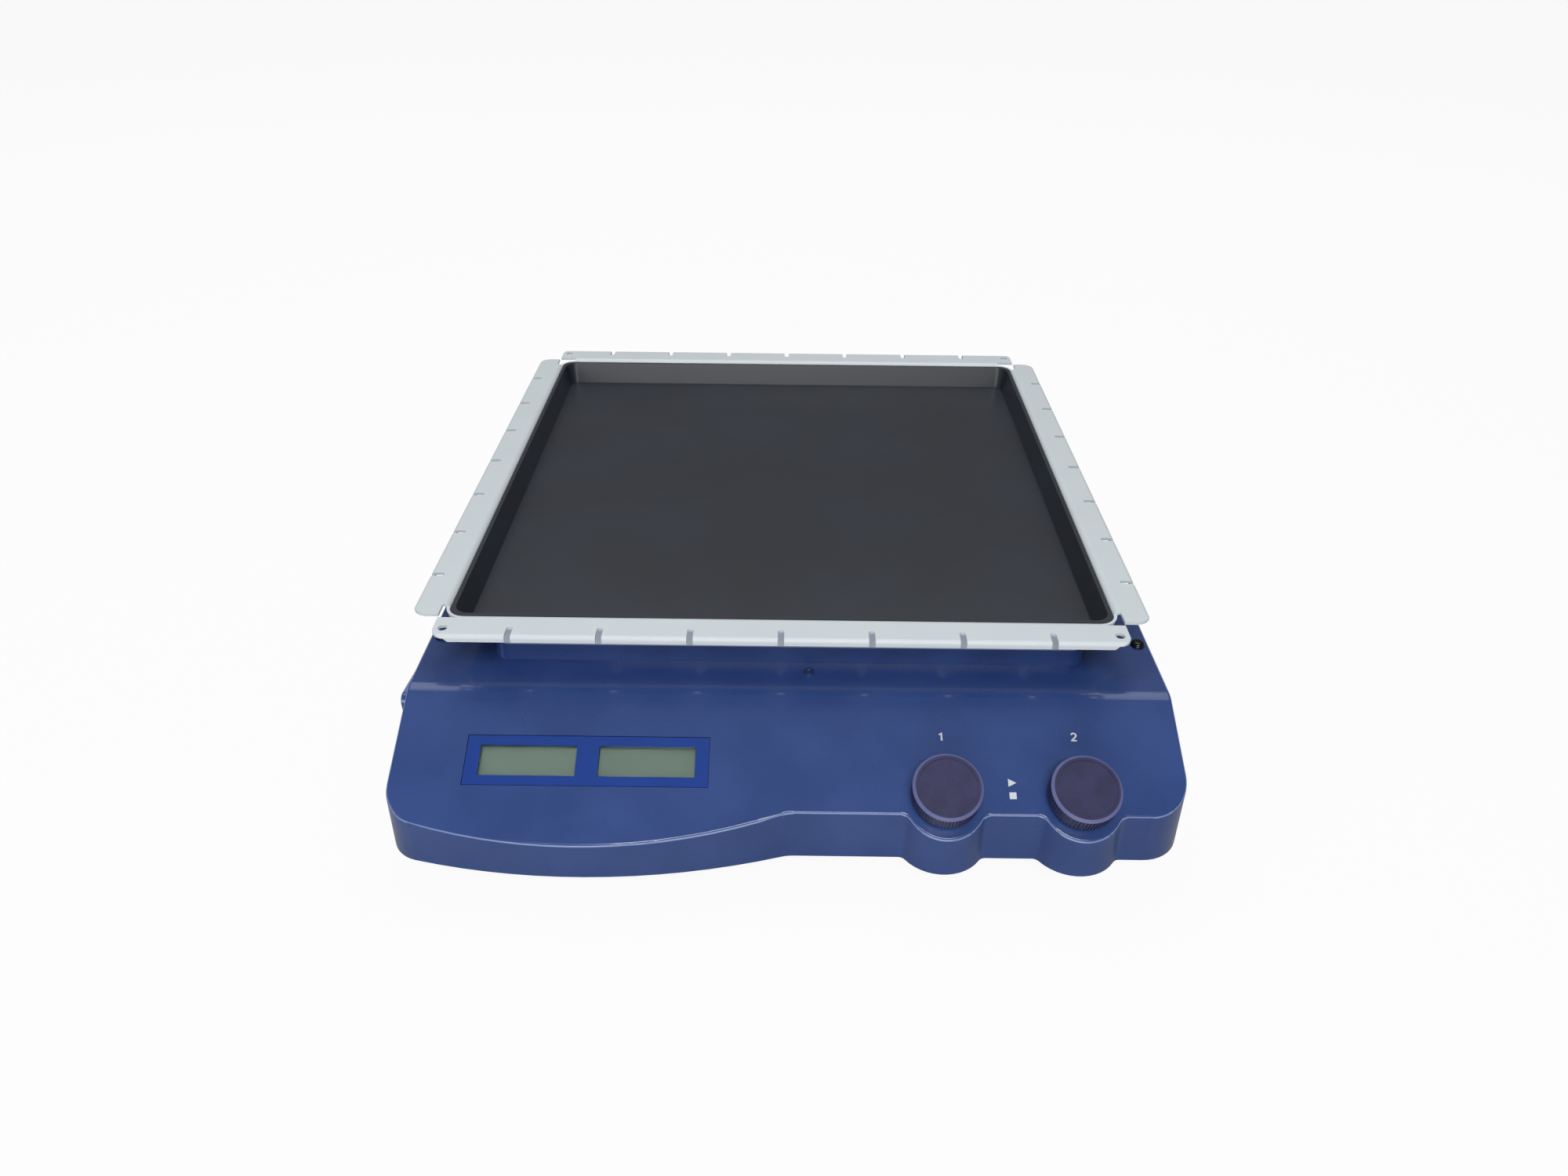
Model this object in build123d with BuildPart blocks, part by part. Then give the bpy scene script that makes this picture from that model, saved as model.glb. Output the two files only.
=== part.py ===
from build123d import *
import math
import os

os.makedirs("parts", exist_ok=True)

# Orbital shaker. X to the right, Y to the back, Z up from the bench, in millimetres.
# The origin lies on the bench under the middle of the housing.

# Housing outline, taken at its lower edge
body_width = 370.0
body_back = 215.0
front_wall = 200.5
bulge_depth = 14.8
bulge_middle = -96.0
left_corner = 18.0
right_corner = 20.0
back_corner = 20.0
bulge_blend = 20.0
lobe_radius = 21.0
lobe_y = -190.0
lobe_blend = 4.0
knob_x = 71.8
knob_pitch = 62.2

# Housing heights and skin
foot_height = 13.0
top_face = 67.0
draft = 1.5
wall = 3.0
panel_slope = 26.5
crease_y = -145.3
crease_round = 12.0
edge_round = 1.5

# Rear connections, in a sunk bay of the back wall
bay_left = -150.0
bay_right = -40.0
bay_low = 22.0
bay_high = 54.0
bay_depth = 3.0
inlet_x = -120.0
switch_x = -66.0

# Plateau that the dish tray moves over
plateau_width = 294.0
plateau_front = -123.3
plateau_back = 190.0
plateau_height = 10.5
plateau_corner = 8.0
plateau_draft = 4.0
plateau_round = 1.8

# Orbit: the drive axis, and where the crank pin stands from it
drive_y = 36.6
pin_dx = -4.0
pin_dy = -3.0
orbit = math.hypot(pin_dx, pin_dy)
tray_x = pin_dx
tray_y = drive_y + pin_dy

# Dish tray, folded from sheet, and its rubber mat
sheet = 1.5
tray_gap = 1.8
tray_height = 18.7
pan_lean = 12.9
mat_floor_x = 310.0
mat_floor_y = 313.0
mat_floor = 2.3
mat_wall = 2.2
mat_gap = 0.4
mat_below_flange = 1.4
mat_corner = 4.0
side_reach = 177.5
side_length = 325.6
rail_reach = 180.8
rail_length = 327.0
bend_radius = 3.0
lip_bend = 1.2
lip_drop = 3.4
lip_setback = 6.0
side_corner = 8.0
rail_corner = 6.0
slot_pitch = 42.5
slot_count = 7
slot_width = 3.0
slot_end_x = 170.2
slot_end_y = 172.7
rail_hole_radius = 2.25
rail_hole_x = 158.9
rail_hole_y = 174.2

# Carrier under the tray, its posts and its four idler cranks
carrier_width = 244.0
carrier_depth = 264.0
carrier_thick = 4.0
carrier_gap = 2.0
carrier_corner = 14.0
post_x = 105.0
post_y = 115.0
post_radius = 8.0
post_room = 1.5
idler_x = 88.0
idler_y = 95.0
hub_depth = 10.0
tray_screw = 2.5

# Bearings: bore radius, outer radius and width
drive_bore = 6.0
drive_ring = 14.0
drive_ring_width = 8.0
idler_bore = 4.0
idler_ring = 11.0
idler_ring_width = 7.0
running = 0.05
seat = 0.05

# Cranks
web_thick = 5.0
web_gap = 0.5
drive_web = 16.0
idler_web = 12.5
barrel_wall = 6.0
barrel_gap = 0.8

# Belt drive
tooth_pitch = 5.0
drive_teeth = 60
motor_teeth = 20
tooth_depth = 1.4
belt_thick = 1.6
belt_gap = 0.3
belt_width = 6.0
pulley_width = 8.0
motor_offset = 105.0

# Base
plate_thick = 2.0
plate_gap = 0.4
foot_x = 150.0
foot_front = -168.0
foot_back = 182.0
foot_radius = 16.0
foot_base = 14.5
screw_room = 0.1
m3 = 1.5
m4 = 2.0
m5 = 2.5

# Panel parts, placed by x and by the distance down the slope from the crease
display_x = -93.3
display_down = 37.2
bezel_width = 113.0
bezel_height = 24.3
bezel_thick = 1.0
bezel_sunk = 0.2
window_width = 45.0
window_height = 15.0
window_pitch = 55.4
lens_thick = 1.6
knob_down = 52.0
knob_radius = 16.0
knob_lift = 2.0
knob_height = 10.3
knob_chamfer = 1.3
knob_ribs = 64
rib_depth = 0.45
push_travel = 1.5
shaft_radius = 3.0
bush_radius = 4.5
bush_height = 3.4
encoder_size = 14.0
encoder_depth = 8.5

# Heights that follow
plateau_top = top_face + plateau_height
plate_top = foot_height + plate_thick
tray_base = plateau_top + tray_gap
tray_floor = tray_base + sheet
flange_top = tray_base + tray_height
mat_top = tray_floor + mat_floor
mat_rim = flange_top - mat_below_flange
carrier_top = plateau_top - wall - carrier_gap
carrier_base = carrier_top - carrier_thick
hub_base = carrier_base - hub_depth
web_top = hub_base - web_gap
web_base = web_top - web_thick
pulley_base = web_base - pulley_width
lean = math.tan(math.radians(pan_lean))
slope = math.radians(panel_slope)

panel = Plane(
    origin=(0, crease_y, top_face),
    x_dir=(1, 0, 0),
    z_dir=(0, -math.sin(slope), math.cos(slope)),
)
knob_xs = [knob_x, knob_x + knob_pitch]
idlers = [(x, drive_y + y) for x in (-idler_x, idler_x) for y in (-idler_y, idler_y)]
posts = [(x, y) for x in (-post_x, post_x) for y in (-post_y, post_y)]


def housing_plan(inset):
    """The housing's outline at its lower edge, moved in by inset."""
    half = body_width / 2
    chord = -bulge_middle
    arc_radius = (chord**2 + bulge_depth**2) / (2 * bulge_depth)
    arc_y = arc_radius - front_wall - bulge_depth
    left_y = arc_y - math.sqrt(arc_radius**2 - (half + bulge_middle) ** 2)
    with BuildSketch(Plane.XY.offset(foot_height)) as plan:
        with BuildLine():
            Polyline(
                (0, -front_wall),
                (half, -front_wall),
                (half, body_back),
                (-half, body_back),
                (-half, left_y),
            )
            ThreePointArc((-half, left_y), (bulge_middle, -front_wall - bulge_depth), (0, -front_wall))
        make_face()

        def corner(x, y):
            return plan.vertices().sort_by_distance(Vector(x, y, foot_height))[0]

        fillet(corner(-half, left_y), left_corner)
        fillet(corner(half, -front_wall), right_corner)
        fillet([corner(-half, body_back), corner(half, body_back)], back_corner)
        fillet(corner(0, -front_wall), bulge_blend)
        with Locations(*[(x, lobe_y) for x in knob_xs]):
            Circle(lobe_radius)
        root = math.sqrt(lobe_radius**2 - (front_wall + lobe_y) ** 2)
        for x in knob_xs:
            fillet([corner(x - root, -front_wall), corner(x + root, -front_wall)], lobe_blend)
        if inset > 0:
            offset(amount=-inset)
    return plan.sketch


def above_panel(depth):
    """What lies above the sloping panel, for a panel sunk by depth."""
    sunk = depth / math.cos(slope)
    start_y = crease_y + (sunk - depth) / math.tan(slope)
    reach = front_wall + 2 * bulge_depth + start_y
    with BuildPart() as wedge:
        with BuildSketch(Plane.YZ):
            Polygon(
                (start_y, top_face - depth),
                (start_y - reach, top_face - depth - reach * math.tan(slope)),
                (start_y - reach, top_face + plateau_height),
                (start_y, top_face + plateau_height),
                align=None,
            )
        extrude(amount=body_width, both=True)
    return wedge.part


def plateau_plan(inset):
    """The plateau's outline where it leaves the top face."""
    middle = (plateau_front + plateau_back) / 2
    depth = plateau_back - plateau_front
    with BuildSketch(Plane.XY.offset(top_face)) as plan:
        with Locations((0, middle)):
            RectangleRounded(plateau_width - 2 * inset, depth - 2 * inset, plateau_corner - inset / 2)
    return plan.sketch


def pan_plan(half_x, half_y, radius, height):
    """A rounded rectangle about the tray's centre at a height."""
    with BuildSketch(Plane.XY.offset(height)) as plan:
        with Locations((tray_x, tray_y)):
            RectangleRounded(2 * half_x, 2 * half_y, radius)
    return plan.sketch


def ring(centres, inner, outer, base, height):
    """Plain rings of one size, one at each centre."""
    with BuildPart() as rings:
        with BuildSketch(Plane.XY.offset(base)):
            with Locations(*centres):
                Circle(outer)
                Circle(inner, mode=Mode.SUBTRACT)
        extrude(amount=height)
    return rings.part


def socket_screws(plane, points, radius, length, head_radius, head_height):
    """Screws with heads that stand on the plane and shanks that go down through it."""
    with BuildPart() as screws:
        with BuildSketch(plane):
            with Locations(*points):
                Circle(head_radius)
        extrude(amount=head_height)
        with BuildSketch(plane.offset(head_height)):
            with Locations(*points):
                RegularPolygon(radius=0.55 * head_radius, side_count=6)
        extrude(amount=-0.5 * head_height, mode=Mode.SUBTRACT)
        with BuildSketch(plane):
            with Locations(*points):
                Circle(radius)
        extrude(amount=-length)
    return screws.part


# Top cover: one moulded shell with the panel, the display bulge, the lobes and the plateau
boss_radius = 5.0
boss_depth = 16.0
boss_x = body_width / 2 - wall - boss_radius + 0.6
boss_front = -105.0
boss_back = 185.0
front_boss_x = 167.0
front_boss_y = -181.0
side_bosses = [(x, y) for x in (-boss_x, boss_x) for y in (boss_front, boss_back)]
front_bosses = [(-front_boss_x, front_boss_y), (front_boss_x, front_boss_y)]
cover_bosses = side_bosses + front_bosses

bay_y = body_back - bay_depth

bay_middle = (bay_low + bay_high) / 2
bay_room = 0.2
inlet_width = 27.0
inlet_height = 20.0
inlet_depth = 18.0
inlet_ear = 20.0
inlet_ears = [(-inlet_x - inlet_ear, bay_middle), (-inlet_x + inlet_ear, bay_middle)]
switch_width = 14.6
switch_height = 28.0
switch_depth = 15.0
bay_face = Plane(origin=(0, bay_y, 0), x_dir=(-1, 0, 0), z_dir=(0, 1, 0))

bezel_room = 0.3
lens_room = 0.3
lens_width = bezel_width - 6.0
lens_height = bezel_height - 5.0
bezel_floor = -bezel_sunk - bezel_thick
post_hole = post_radius + orbit + post_room
cover_screw_at = (9.7, -131.0)
cover_screw_boss = 4.0
cover_screw_length = 7.0
dome_radius = 3.5
dome_height = 2.6
dome_stem = 2.2
dome_stem_depth = 5.0
board_posts = [(x, y) for x in (-60.0, 60.0) for y in (-11.0, 11.0)]
board_post_radius = 2.6
board_post_height = 4.4

with BuildPart() as outside:
    add(housing_plan(0))
    extrude(amount=top_face - foot_height, taper=draft)
    add(above_panel(0), mode=Mode.SUBTRACT)
    crease = outside.edges().filter_by(Axis.X).sort_by_distance((0, crease_y, top_face))[0]
    fillet(crease, crease_round)
    rims = [edge for edge in outside.edges() if edge.center().Z > foot_height + 15 and not (
        abs(edge.tangent_at(0.5).Z) > 0.9)]
    crease_lines = outside.edges().filter_by(Axis.X).sort_by_distance((0, crease_y, top_face))[:2]
    fillet([edge for edge in rims if edge not in crease_lines], edge_round)

with BuildPart() as inside:
    add(housing_plan(wall))
    extrude(amount=top_face - wall - foot_height, taper=draft)
    add(above_panel(wall), mode=Mode.SUBTRACT)

with BuildPart() as plateau:
    add(plateau_plan(0))
    extrude(amount=plateau_height, taper=plateau_draft)
    fillet(plateau.faces().sort_by(Axis.Z)[-1].edges(), plateau_round)

with BuildPart() as bosses:
    with BuildSketch(Plane.XY.offset(plate_top)):
        with Locations(*cover_bosses):
            Circle(boss_radius)
    extrude(amount=top_face - plate_top - wall / 2)
    with Locations(((bay_left + bay_right) / 2, bay_y - wall, (bay_low + bay_high) / 2)):
        Box(
            bay_right - bay_left + 2 * wall,
            2 * wall,
            bay_high - bay_low + 2 * wall,
            align=(Align.CENTER, Align.MIN, Align.CENTER),
        )
    add(outside.part, mode=Mode.INTERSECT)

with BuildPart() as top_cover:
    add(outside.part)
    add(plateau.part)
    add(inside.part, mode=Mode.SUBTRACT)
    with BuildSketch(Plane.XY.offset(top_face - wall)):
        with Locations((0, (plateau_front + plateau_back) / 2)):
            RectangleRounded(
                plateau_width - 2 * wall, plateau_back - plateau_front - 2 * wall, plateau_corner - wall / 2
            )
    extrude(amount=plateau_height, taper=plateau_draft, mode=Mode.SUBTRACT)
    add(bosses.part)
    with Locations(*[(x, y, plate_top) for x, y in cover_bosses]):
        Cylinder(m4 + screw_room, 2 * boss_depth, mode=Mode.SUBTRACT)
    with Locations(*[(x, y, top_face) for x, y in side_bosses]):
        Cylinder(dome_stem + screw_room, 2 * dome_stem_depth + 1, mode=Mode.SUBTRACT)
    with BuildSketch(Plane.XY.offset(top_face - wall / 2)):
        with Locations(cover_screw_at):
            Circle(cover_screw_boss)
    extrude(amount=-cover_screw_length)
    with Locations((*cover_screw_at, top_face)):
        Cylinder(m3 + screw_room, 2 * cover_screw_length + 1, mode=Mode.SUBTRACT)
    with BuildSketch(Plane.XY.offset(plateau_top)):
        with Locations(*[(x, drive_y + y) for x, y in posts]):
            Circle(post_hole)
    extrude(amount=-2 * wall, mode=Mode.SUBTRACT)
    with Locations(((bay_left + bay_right) / 2, bay_y, (bay_low + bay_high) / 2)):
        Box(
            bay_right - bay_left,
            2 * wall,
            bay_high - bay_low,
            align=(Align.CENTER, Align.MIN, Align.CENTER),
            mode=Mode.SUBTRACT,
        )
    with BuildSketch(bay_face):
        with Locations((-inlet_x, bay_middle)):
            Rectangle(inlet_width + 2 * bay_room, inlet_height + 2 * bay_room)
        with Locations(*inlet_ears):
            Circle(m3 + screw_room)
        with Locations((-switch_x, bay_middle)):
            Rectangle(switch_width + 2 * bay_room, switch_height + 2 * bay_room)
    extrude(amount=-2 * wall, mode=Mode.SUBTRACT)
    with BuildSketch(panel):
        with Locations((display_x, -display_down)):
            Rectangle(bezel_width + 2 * bezel_room, bezel_height + 2 * bezel_room)
    extrude(amount=bezel_floor, mode=Mode.SUBTRACT)
    with BuildSketch(panel):
        with Locations((display_x, -display_down)):
            Rectangle(lens_width + 2 * lens_room, lens_height + 2 * lens_room)
        with Locations(*[(x, -knob_down) for x in knob_xs]):
            Circle(bush_radius + 0.2)
    extrude(amount=-2 * wall, mode=Mode.SUBTRACT)
    with BuildSketch(panel.offset(-wall + 0.5)):
        with Locations((display_x, -display_down)):
            with Locations(*board_posts):
                Circle(board_post_radius)
                Circle(1.1, mode=Mode.SUBTRACT)
    extrude(amount=-board_post_height - 0.5)
top_cover.part.label = "top_cover"
export_step(top_cover.part, "parts/top_cover.step")


# Side cover: a thin moulded lid that clips over the left wall
lid_front = -148.0
lid_back = -60.0
lid_low = 22.0
lid_high = 62.0
lid_high_back = 52.0
lid_stand = 2.6
lid_corner = 4.0
lid_x = -body_width / 2 - lid_stand

with BuildPart() as side_cover:
    with BuildSketch(Plane.YZ.offset(lid_x)) as lid_outline:
        Polygon(
            (lid_front, lid_low),
            (lid_back, lid_low),
            (lid_back, lid_high_back),
            (lid_front, lid_high),
            align=None,
        )
        fillet(lid_outline.vertices(), lid_corner)
    extrude(amount=2 * wall + lid_stand)
    fillet(side_cover.faces().sort_by(Axis.X)[0].edges(), 0.8)
    add(outside.part, mode=Mode.SUBTRACT)
side_cover.part.label = "side_cover"
export_step(side_cover.part, "parts/side_cover.step")

# Corner domes: black rubber plugs in the cover's four side bosses
with BuildPart() as corner_domes:
    with BuildSketch(Plane.XY.offset(top_face)):
        with Locations(*side_bosses):
            Circle(dome_radius)
    extrude(amount=dome_height)
    fillet(corner_domes.faces().filter_by(Axis.Z).group_by(Axis.Z)[-1].edges(), 0.8 * dome_height)
    with BuildSketch(Plane.XY.offset(top_face)):
        with Locations(*side_bosses):
            Circle(dome_stem)
    extrude(amount=-dome_stem_depth)
corner_domes.part.label = "corner_domes"
export_step(corner_domes.part, "parts/corner_domes.step")

# Cover screw in the top face, ahead of the plateau
cover_screw = socket_screws(
    Plane.XY.offset(top_face), [cover_screw_at], m3, cover_screw_length - 1, 1.7 * m3, 0.8 * m3
)
cover_screw.label = "cover_screw"
export_step(cover_screw, "parts/cover_screw.step")

# Display: bezel, clear lens, two liquid crystal modules and their board
module_margin = 1.8
module_top = -wall - 0.1
display_board_top = -wall - board_post_height
display_board_thick = 1.6
display_at = (display_x, -display_down)
windows = [(-window_pitch / 2, 0), (window_pitch / 2, 0)]

with BuildPart() as display_bezel:
    with BuildSketch(panel.offset(bezel_floor)):
        with Locations(display_at):
            Rectangle(bezel_width, bezel_height)
            with Locations(*windows):
                Rectangle(window_width, window_height, mode=Mode.SUBTRACT)
    extrude(amount=bezel_thick)
display_bezel.part.label = "display_bezel"
export_step(display_bezel.part, "parts/display_bezel.step")

with BuildPart() as display_lens:
    with BuildSketch(panel.offset(bezel_floor)):
        with Locations(display_at):
            Rectangle(lens_width, lens_height)
    extrude(amount=-lens_thick)
display_lens.part.label = "display_lens"
export_step(display_lens.part, "parts/display_lens.step")

with BuildPart() as lcd_modules:
    with BuildSketch(panel.offset(display_board_top)):
        with Locations(display_at):
            with Locations(*windows):
                Rectangle(window_width + 2 * module_margin, window_height + 2 * module_margin)
    extrude(amount=module_top - display_board_top)
lcd_modules.part.label = "lcd_modules"
export_step(lcd_modules.part, "parts/lcd_modules.step")

with BuildPart() as display_board:
    with BuildSketch(panel.offset(display_board_top)):
        with Locations(display_at):
            Rectangle(128, 29)
            with Locations(*board_posts):
                Circle(m3 - 0.3, mode=Mode.SUBTRACT)
    extrude(amount=-display_board_thick)
display_board.part.label = "display_board"
export_step(display_board.part, "parts/display_board.step")

board_back = panel.offset(display_board_top - display_board_thick)
display_screws = socket_screws(
    Plane(board_back.origin, x_dir=board_back.x_dir, z_dir=-board_back.z_dir),
    [(display_x + x, display_down + y) for x, y in board_posts],
    1.0, 5.0, 2.0, 1.2,
)
display_screws.label = "display_screws"
export_step(display_screws, "parts/display_screws.step")

# Two push encoders: body and bush, nut, inner rotor, sliding shaft, and one board for both
rotor_base = -wall - 5.0
rotor_thick = 2.6
cavity_radius = 5.2
cavity_low = -wall - encoder_depth + 1.6
knob_places = [(x, -knob_down) for x in knob_xs]
shaft_base = rotor_base - 0.2
shaft_top = knob_lift + knob_height - 1.2
knob_board_thick = 1.6

with BuildPart() as encoder_bodies:
    with BuildSketch(panel.offset(-wall)):
        with Locations(*knob_places):
            Rectangle(encoder_size, encoder_size)
    extrude(amount=-encoder_depth)
    with BuildSketch(panel.offset(-wall)):
        with Locations(*knob_places):
            Circle(bush_radius)
    extrude(amount=wall + bush_height)
    with BuildSketch(panel.offset(bush_height)):
        with Locations(*knob_places):
            Circle(shaft_radius + running)
    extrude(amount=cavity_low - bush_height, mode=Mode.SUBTRACT)
    with BuildSketch(panel.offset(rotor_base + rotor_thick + 0.2)):
        with Locations(*knob_places):
            Circle(cavity_radius)
    extrude(amount=cavity_low - rotor_base - rotor_thick - 0.2, mode=Mode.SUBTRACT)
encoder_bodies.part.label = "encoder_bodies"
export_step(encoder_bodies.part, "parts/encoder_bodies.step")

with BuildPart() as encoder_nuts:
    with BuildSketch(panel):
        with Locations(*knob_places):
            RegularPolygon(radius=6.9, side_count=6)
            Circle(bush_radius + screw_room, mode=Mode.SUBTRACT)
    extrude(amount=2.2)
encoder_nuts.part.label = "encoder_nuts"
export_step(encoder_nuts.part, "parts/encoder_nuts.step")

with BuildPart() as knob_board:
    with BuildSketch(panel.offset(-wall - encoder_depth)):
        with Locations((knob_x + knob_pitch / 2, -knob_down)):
            Rectangle(knob_pitch + encoder_size + 8, encoder_size + 2)
    extrude(amount=-knob_board_thick)
knob_board.part.label = "knob_board"
export_step(knob_board.part, "parts/knob_board.step")

for name, x in zip(("speed", "time"), knob_xs):
    with BuildPart() as rotor:
        with BuildSketch(panel.offset(rotor_base)):
            with Locations((x, -knob_down)):
                Circle(cavity_radius - 0.3)
                Circle(shaft_radius + running, mode=Mode.SUBTRACT)
        extrude(amount=rotor_thick)
    rotor.part.label = f"{name}_rotor"
    export_step(rotor.part, f"parts/{name}_rotor.step")

    with BuildPart() as shaft:
        with BuildSketch(panel.offset(shaft_base)):
            with Locations((x, -knob_down)):
                Circle(shaft_radius)
        extrude(amount=shaft_top - shaft_base)
    shaft.part.label = f"{name}_shaft"
    export_step(shaft.part, f"parts/{name}_shaft.step")

    with BuildPart() as knob:
        with BuildSketch(panel.offset(knob_lift)):
            with Locations((x, -knob_down)):
                Circle(knob_radius)
        extrude(amount=knob_height)
        knob_top = knob.faces().filter_by(Plane(panel.origin, z_dir=panel.z_dir)).sort_by(Axis.Z)[-1]
        chamfer(knob_top.edges(), knob_chamfer)
        with BuildSketch(panel.offset(knob_lift)):
            with Locations((x, -knob_down)):
                with PolarLocations(knob_radius, knob_ribs):
                    Rectangle(2 * rib_depth, math.pi * knob_radius / knob_ribs)
        extrude(amount=knob_height - knob_chamfer, mode=Mode.SUBTRACT)
        with BuildSketch(panel.offset(knob_lift + knob_height)):
            with Locations((x, -knob_down)):
                Circle(knob_radius - 2 * knob_chamfer)
        extrude(amount=-0.35, mode=Mode.SUBTRACT)
        with BuildSketch(panel.offset(knob_lift)):
            with Locations((x, -knob_down)):
                Circle(2 * bush_radius)
        extrude(amount=bush_height + push_travel - knob_lift + 1.5, mode=Mode.SUBTRACT)
        with BuildSketch(panel.offset(knob_lift)):
            with Locations((x, -knob_down)):
                Circle(shaft_radius + running)
        extrude(amount=shaft_top - knob_lift + 0.1, mode=Mode.SUBTRACT)
    knob.part.label = f"{name}_knob"
    export_step(knob.part, f"parts/{name}_knob.step")

# Base: sheet plate, rubber feet, and the screws that come up through the plate
drive_flange = 34.0
drive_flange_thick = 5.0
idler_flange = 22.0
idler_flange_thick = 4.0
supply_width = 76.0
supply_depth = 126.0
supply_height = 36.0
supply_x = -106.0
bracket_depth = 72.0
bracket_width = 76.0
bracket_thick = 2.5
bracket_foot = 11.0
motor_x = motor_offset
motor_y = drive_y
feet = [(x, y) for x in (-foot_x, foot_x) for y in (foot_front, foot_back)]
drive_bolts = [
    (27 * math.cos(math.radians(a)), drive_y + 27 * math.sin(math.radians(a))) for a in (45, 135, 225, 315)
]
idler_bolts = [(x + dx, y) for x, y in idlers for dx in (-18.6, 18.6)]
supply_bolts = [
    (supply_x + x, drive_y + y)
    for x in (-supply_width / 2 + 8, supply_width / 2 - 8)
    for y in (-supply_depth / 2 + 12, supply_depth / 2 - 12)
]
bracket_bolts = [
    (motor_x + x, motor_y + y)
    for x in (-26, 26)
    for y in (-bracket_depth / 2 - bracket_foot / 2, bracket_depth / 2 + bracket_foot / 2)
]
plate_bolts = drive_bolts + idler_bolts + supply_bolts + bracket_bolts
bolt_grip = 3.6
cover_grip = 14.0

with BuildPart() as base_plate:
    add(housing_plan(wall + plate_gap))
    extrude(amount=plate_thick)
    with BuildSketch(Plane.XY.offset(plate_top)):
        with Locations(*(cover_bosses + plate_bolts)):
            Circle(m4 + screw_room)
        with Locations(*feet):
            Circle(m5 + screw_room)
        with Locations((0, drive_y - 115)):
            with GridLocations(12, 0, 7, 1):
                SlotOverall(40, 4, rotation=90)
        with Locations((0, drive_y + 125)):
            with GridLocations(12, 0, 7, 1):
                SlotOverall(40, 4, rotation=90)
    extrude(amount=-plate_thick, mode=Mode.SUBTRACT)
base_plate.part.label = "base_plate"
export_step(base_plate.part, "parts/base_plate.step")

foot_recess = 6.0
foot_recess_depth = 7.0
foot_bolt_up = 6.0

with BuildPart() as rubber_feet:
    with Locations(*[(x, y, foot_height) for x, y in feet]):
        Cone(foot_base, foot_radius, foot_height, align=(Align.CENTER, Align.CENTER, Align.MAX))
        Cylinder(m5 + screw_room, 3 * foot_height, mode=Mode.SUBTRACT)
    with Locations(*[(x, y, 0) for x, y in feet]):
        Cylinder(foot_recess, 2 * foot_recess_depth, mode=Mode.SUBTRACT)
rubber_feet.part.label = "rubber_feet"
export_step(rubber_feet.part, "parts/rubber_feet.step")

foot_screws = socket_screws(
    Plane((0, 0, foot_recess_depth), x_dir=(1, 0, 0), z_dir=(0, 0, -1)),
    [(x, -y) for x, y in feet],
    m5, plate_top - foot_recess_depth + foot_bolt_up, 1.8 * m5, 1.2 * m5,
)
foot_screws.label = "foot_screws"
export_step(foot_screws, "parts/foot_screws.step")

with BuildPart() as foot_nuts:
    with BuildSketch(Plane.XY.offset(plate_top)):
        with Locations(*feet):
            RegularPolygon(radius=1.85 * m5, side_count=6)
            Circle(m5 + screw_room, mode=Mode.SUBTRACT)
    extrude(amount=foot_bolt_up - 1)
foot_nuts.part.label = "foot_nuts"
export_step(foot_nuts.part, "parts/foot_nuts.step")

under_plate = Plane((0, 0, foot_height), x_dir=(1, 0, 0), z_dir=(0, 0, -1))
cover_screws = socket_screws(
    under_plate, [(x, -y) for x, y in cover_bosses], m4, cover_grip, 1.8 * m4, m4
)
cover_screws.label = "cover_screws"
export_step(cover_screws, "parts/cover_screws.step")

base_screws = socket_screws(
    under_plate, [(x, -y) for x, y in plate_bolts], m4, plate_thick + bolt_grip - 0.6, 1.8 * m4, m4
)
base_screws.label = "base_screws"
export_step(base_screws, "parts/base_screws.step")

# Drive housing: a flanged barrel that holds the crank's two bearings
barrel_top = pulley_base - barrel_gap
low_ring = plate_top + 1.0
high_ring = barrel_top - 0.5 - drive_ring_width
drive_axis = (0, drive_y)
rib_thick = 4.0
rib_short = 2.5

with BuildPart() as drive_housing:
    with BuildSketch(Plane.XY.offset(plate_top)):
        with Locations(drive_axis):
            Circle(drive_flange)
    extrude(amount=drive_flange_thick)
    with BuildSketch(Plane.XY.offset(plate_top)):
        with Locations(drive_axis):
            Circle(drive_ring + barrel_wall)
    extrude(amount=barrel_top - plate_top)
    with Locations((*drive_axis, plate_top)):
        with PolarLocations(drive_ring + barrel_wall / 2, 4):
            Wedge(
                drive_flange - drive_ring - barrel_wall / 2 - rib_short,
                0.8 * (barrel_top - plate_top),
                rib_thick, 0, 0, barrel_wall, rib_thick,
                rotation=(90, 0, 0), align=(Align.MIN, Align.MIN, Align.CENTER),
            )
    with BuildSketch(Plane.XY.offset(plate_top)):
        with Locations(*drive_bolts):
            Circle(m4 + screw_room)
        with Locations(drive_axis):
            Circle(drive_ring + seat)
    extrude(amount=bolt_grip, mode=Mode.SUBTRACT)
    with Locations((*drive_axis, plate_top)):
        Cylinder(
            drive_ring + seat, low_ring - plate_top + drive_ring_width,
            align=(Align.CENTER, Align.CENTER, Align.MIN), mode=Mode.SUBTRACT,
        )
        Cylinder(
            drive_ring - 2.5, barrel_top - plate_top,
            align=(Align.CENTER, Align.CENTER, Align.MIN), mode=Mode.SUBTRACT,
        )
    with Locations((*drive_axis, high_ring)):
        Cylinder(
            drive_ring + seat, barrel_top - high_ring,
            align=(Align.CENTER, Align.CENTER, Align.MIN), mode=Mode.SUBTRACT,
        )
drive_housing.part.label = "drive_housing"
export_step(drive_housing.part, "parts/drive_housing.step")

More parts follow.
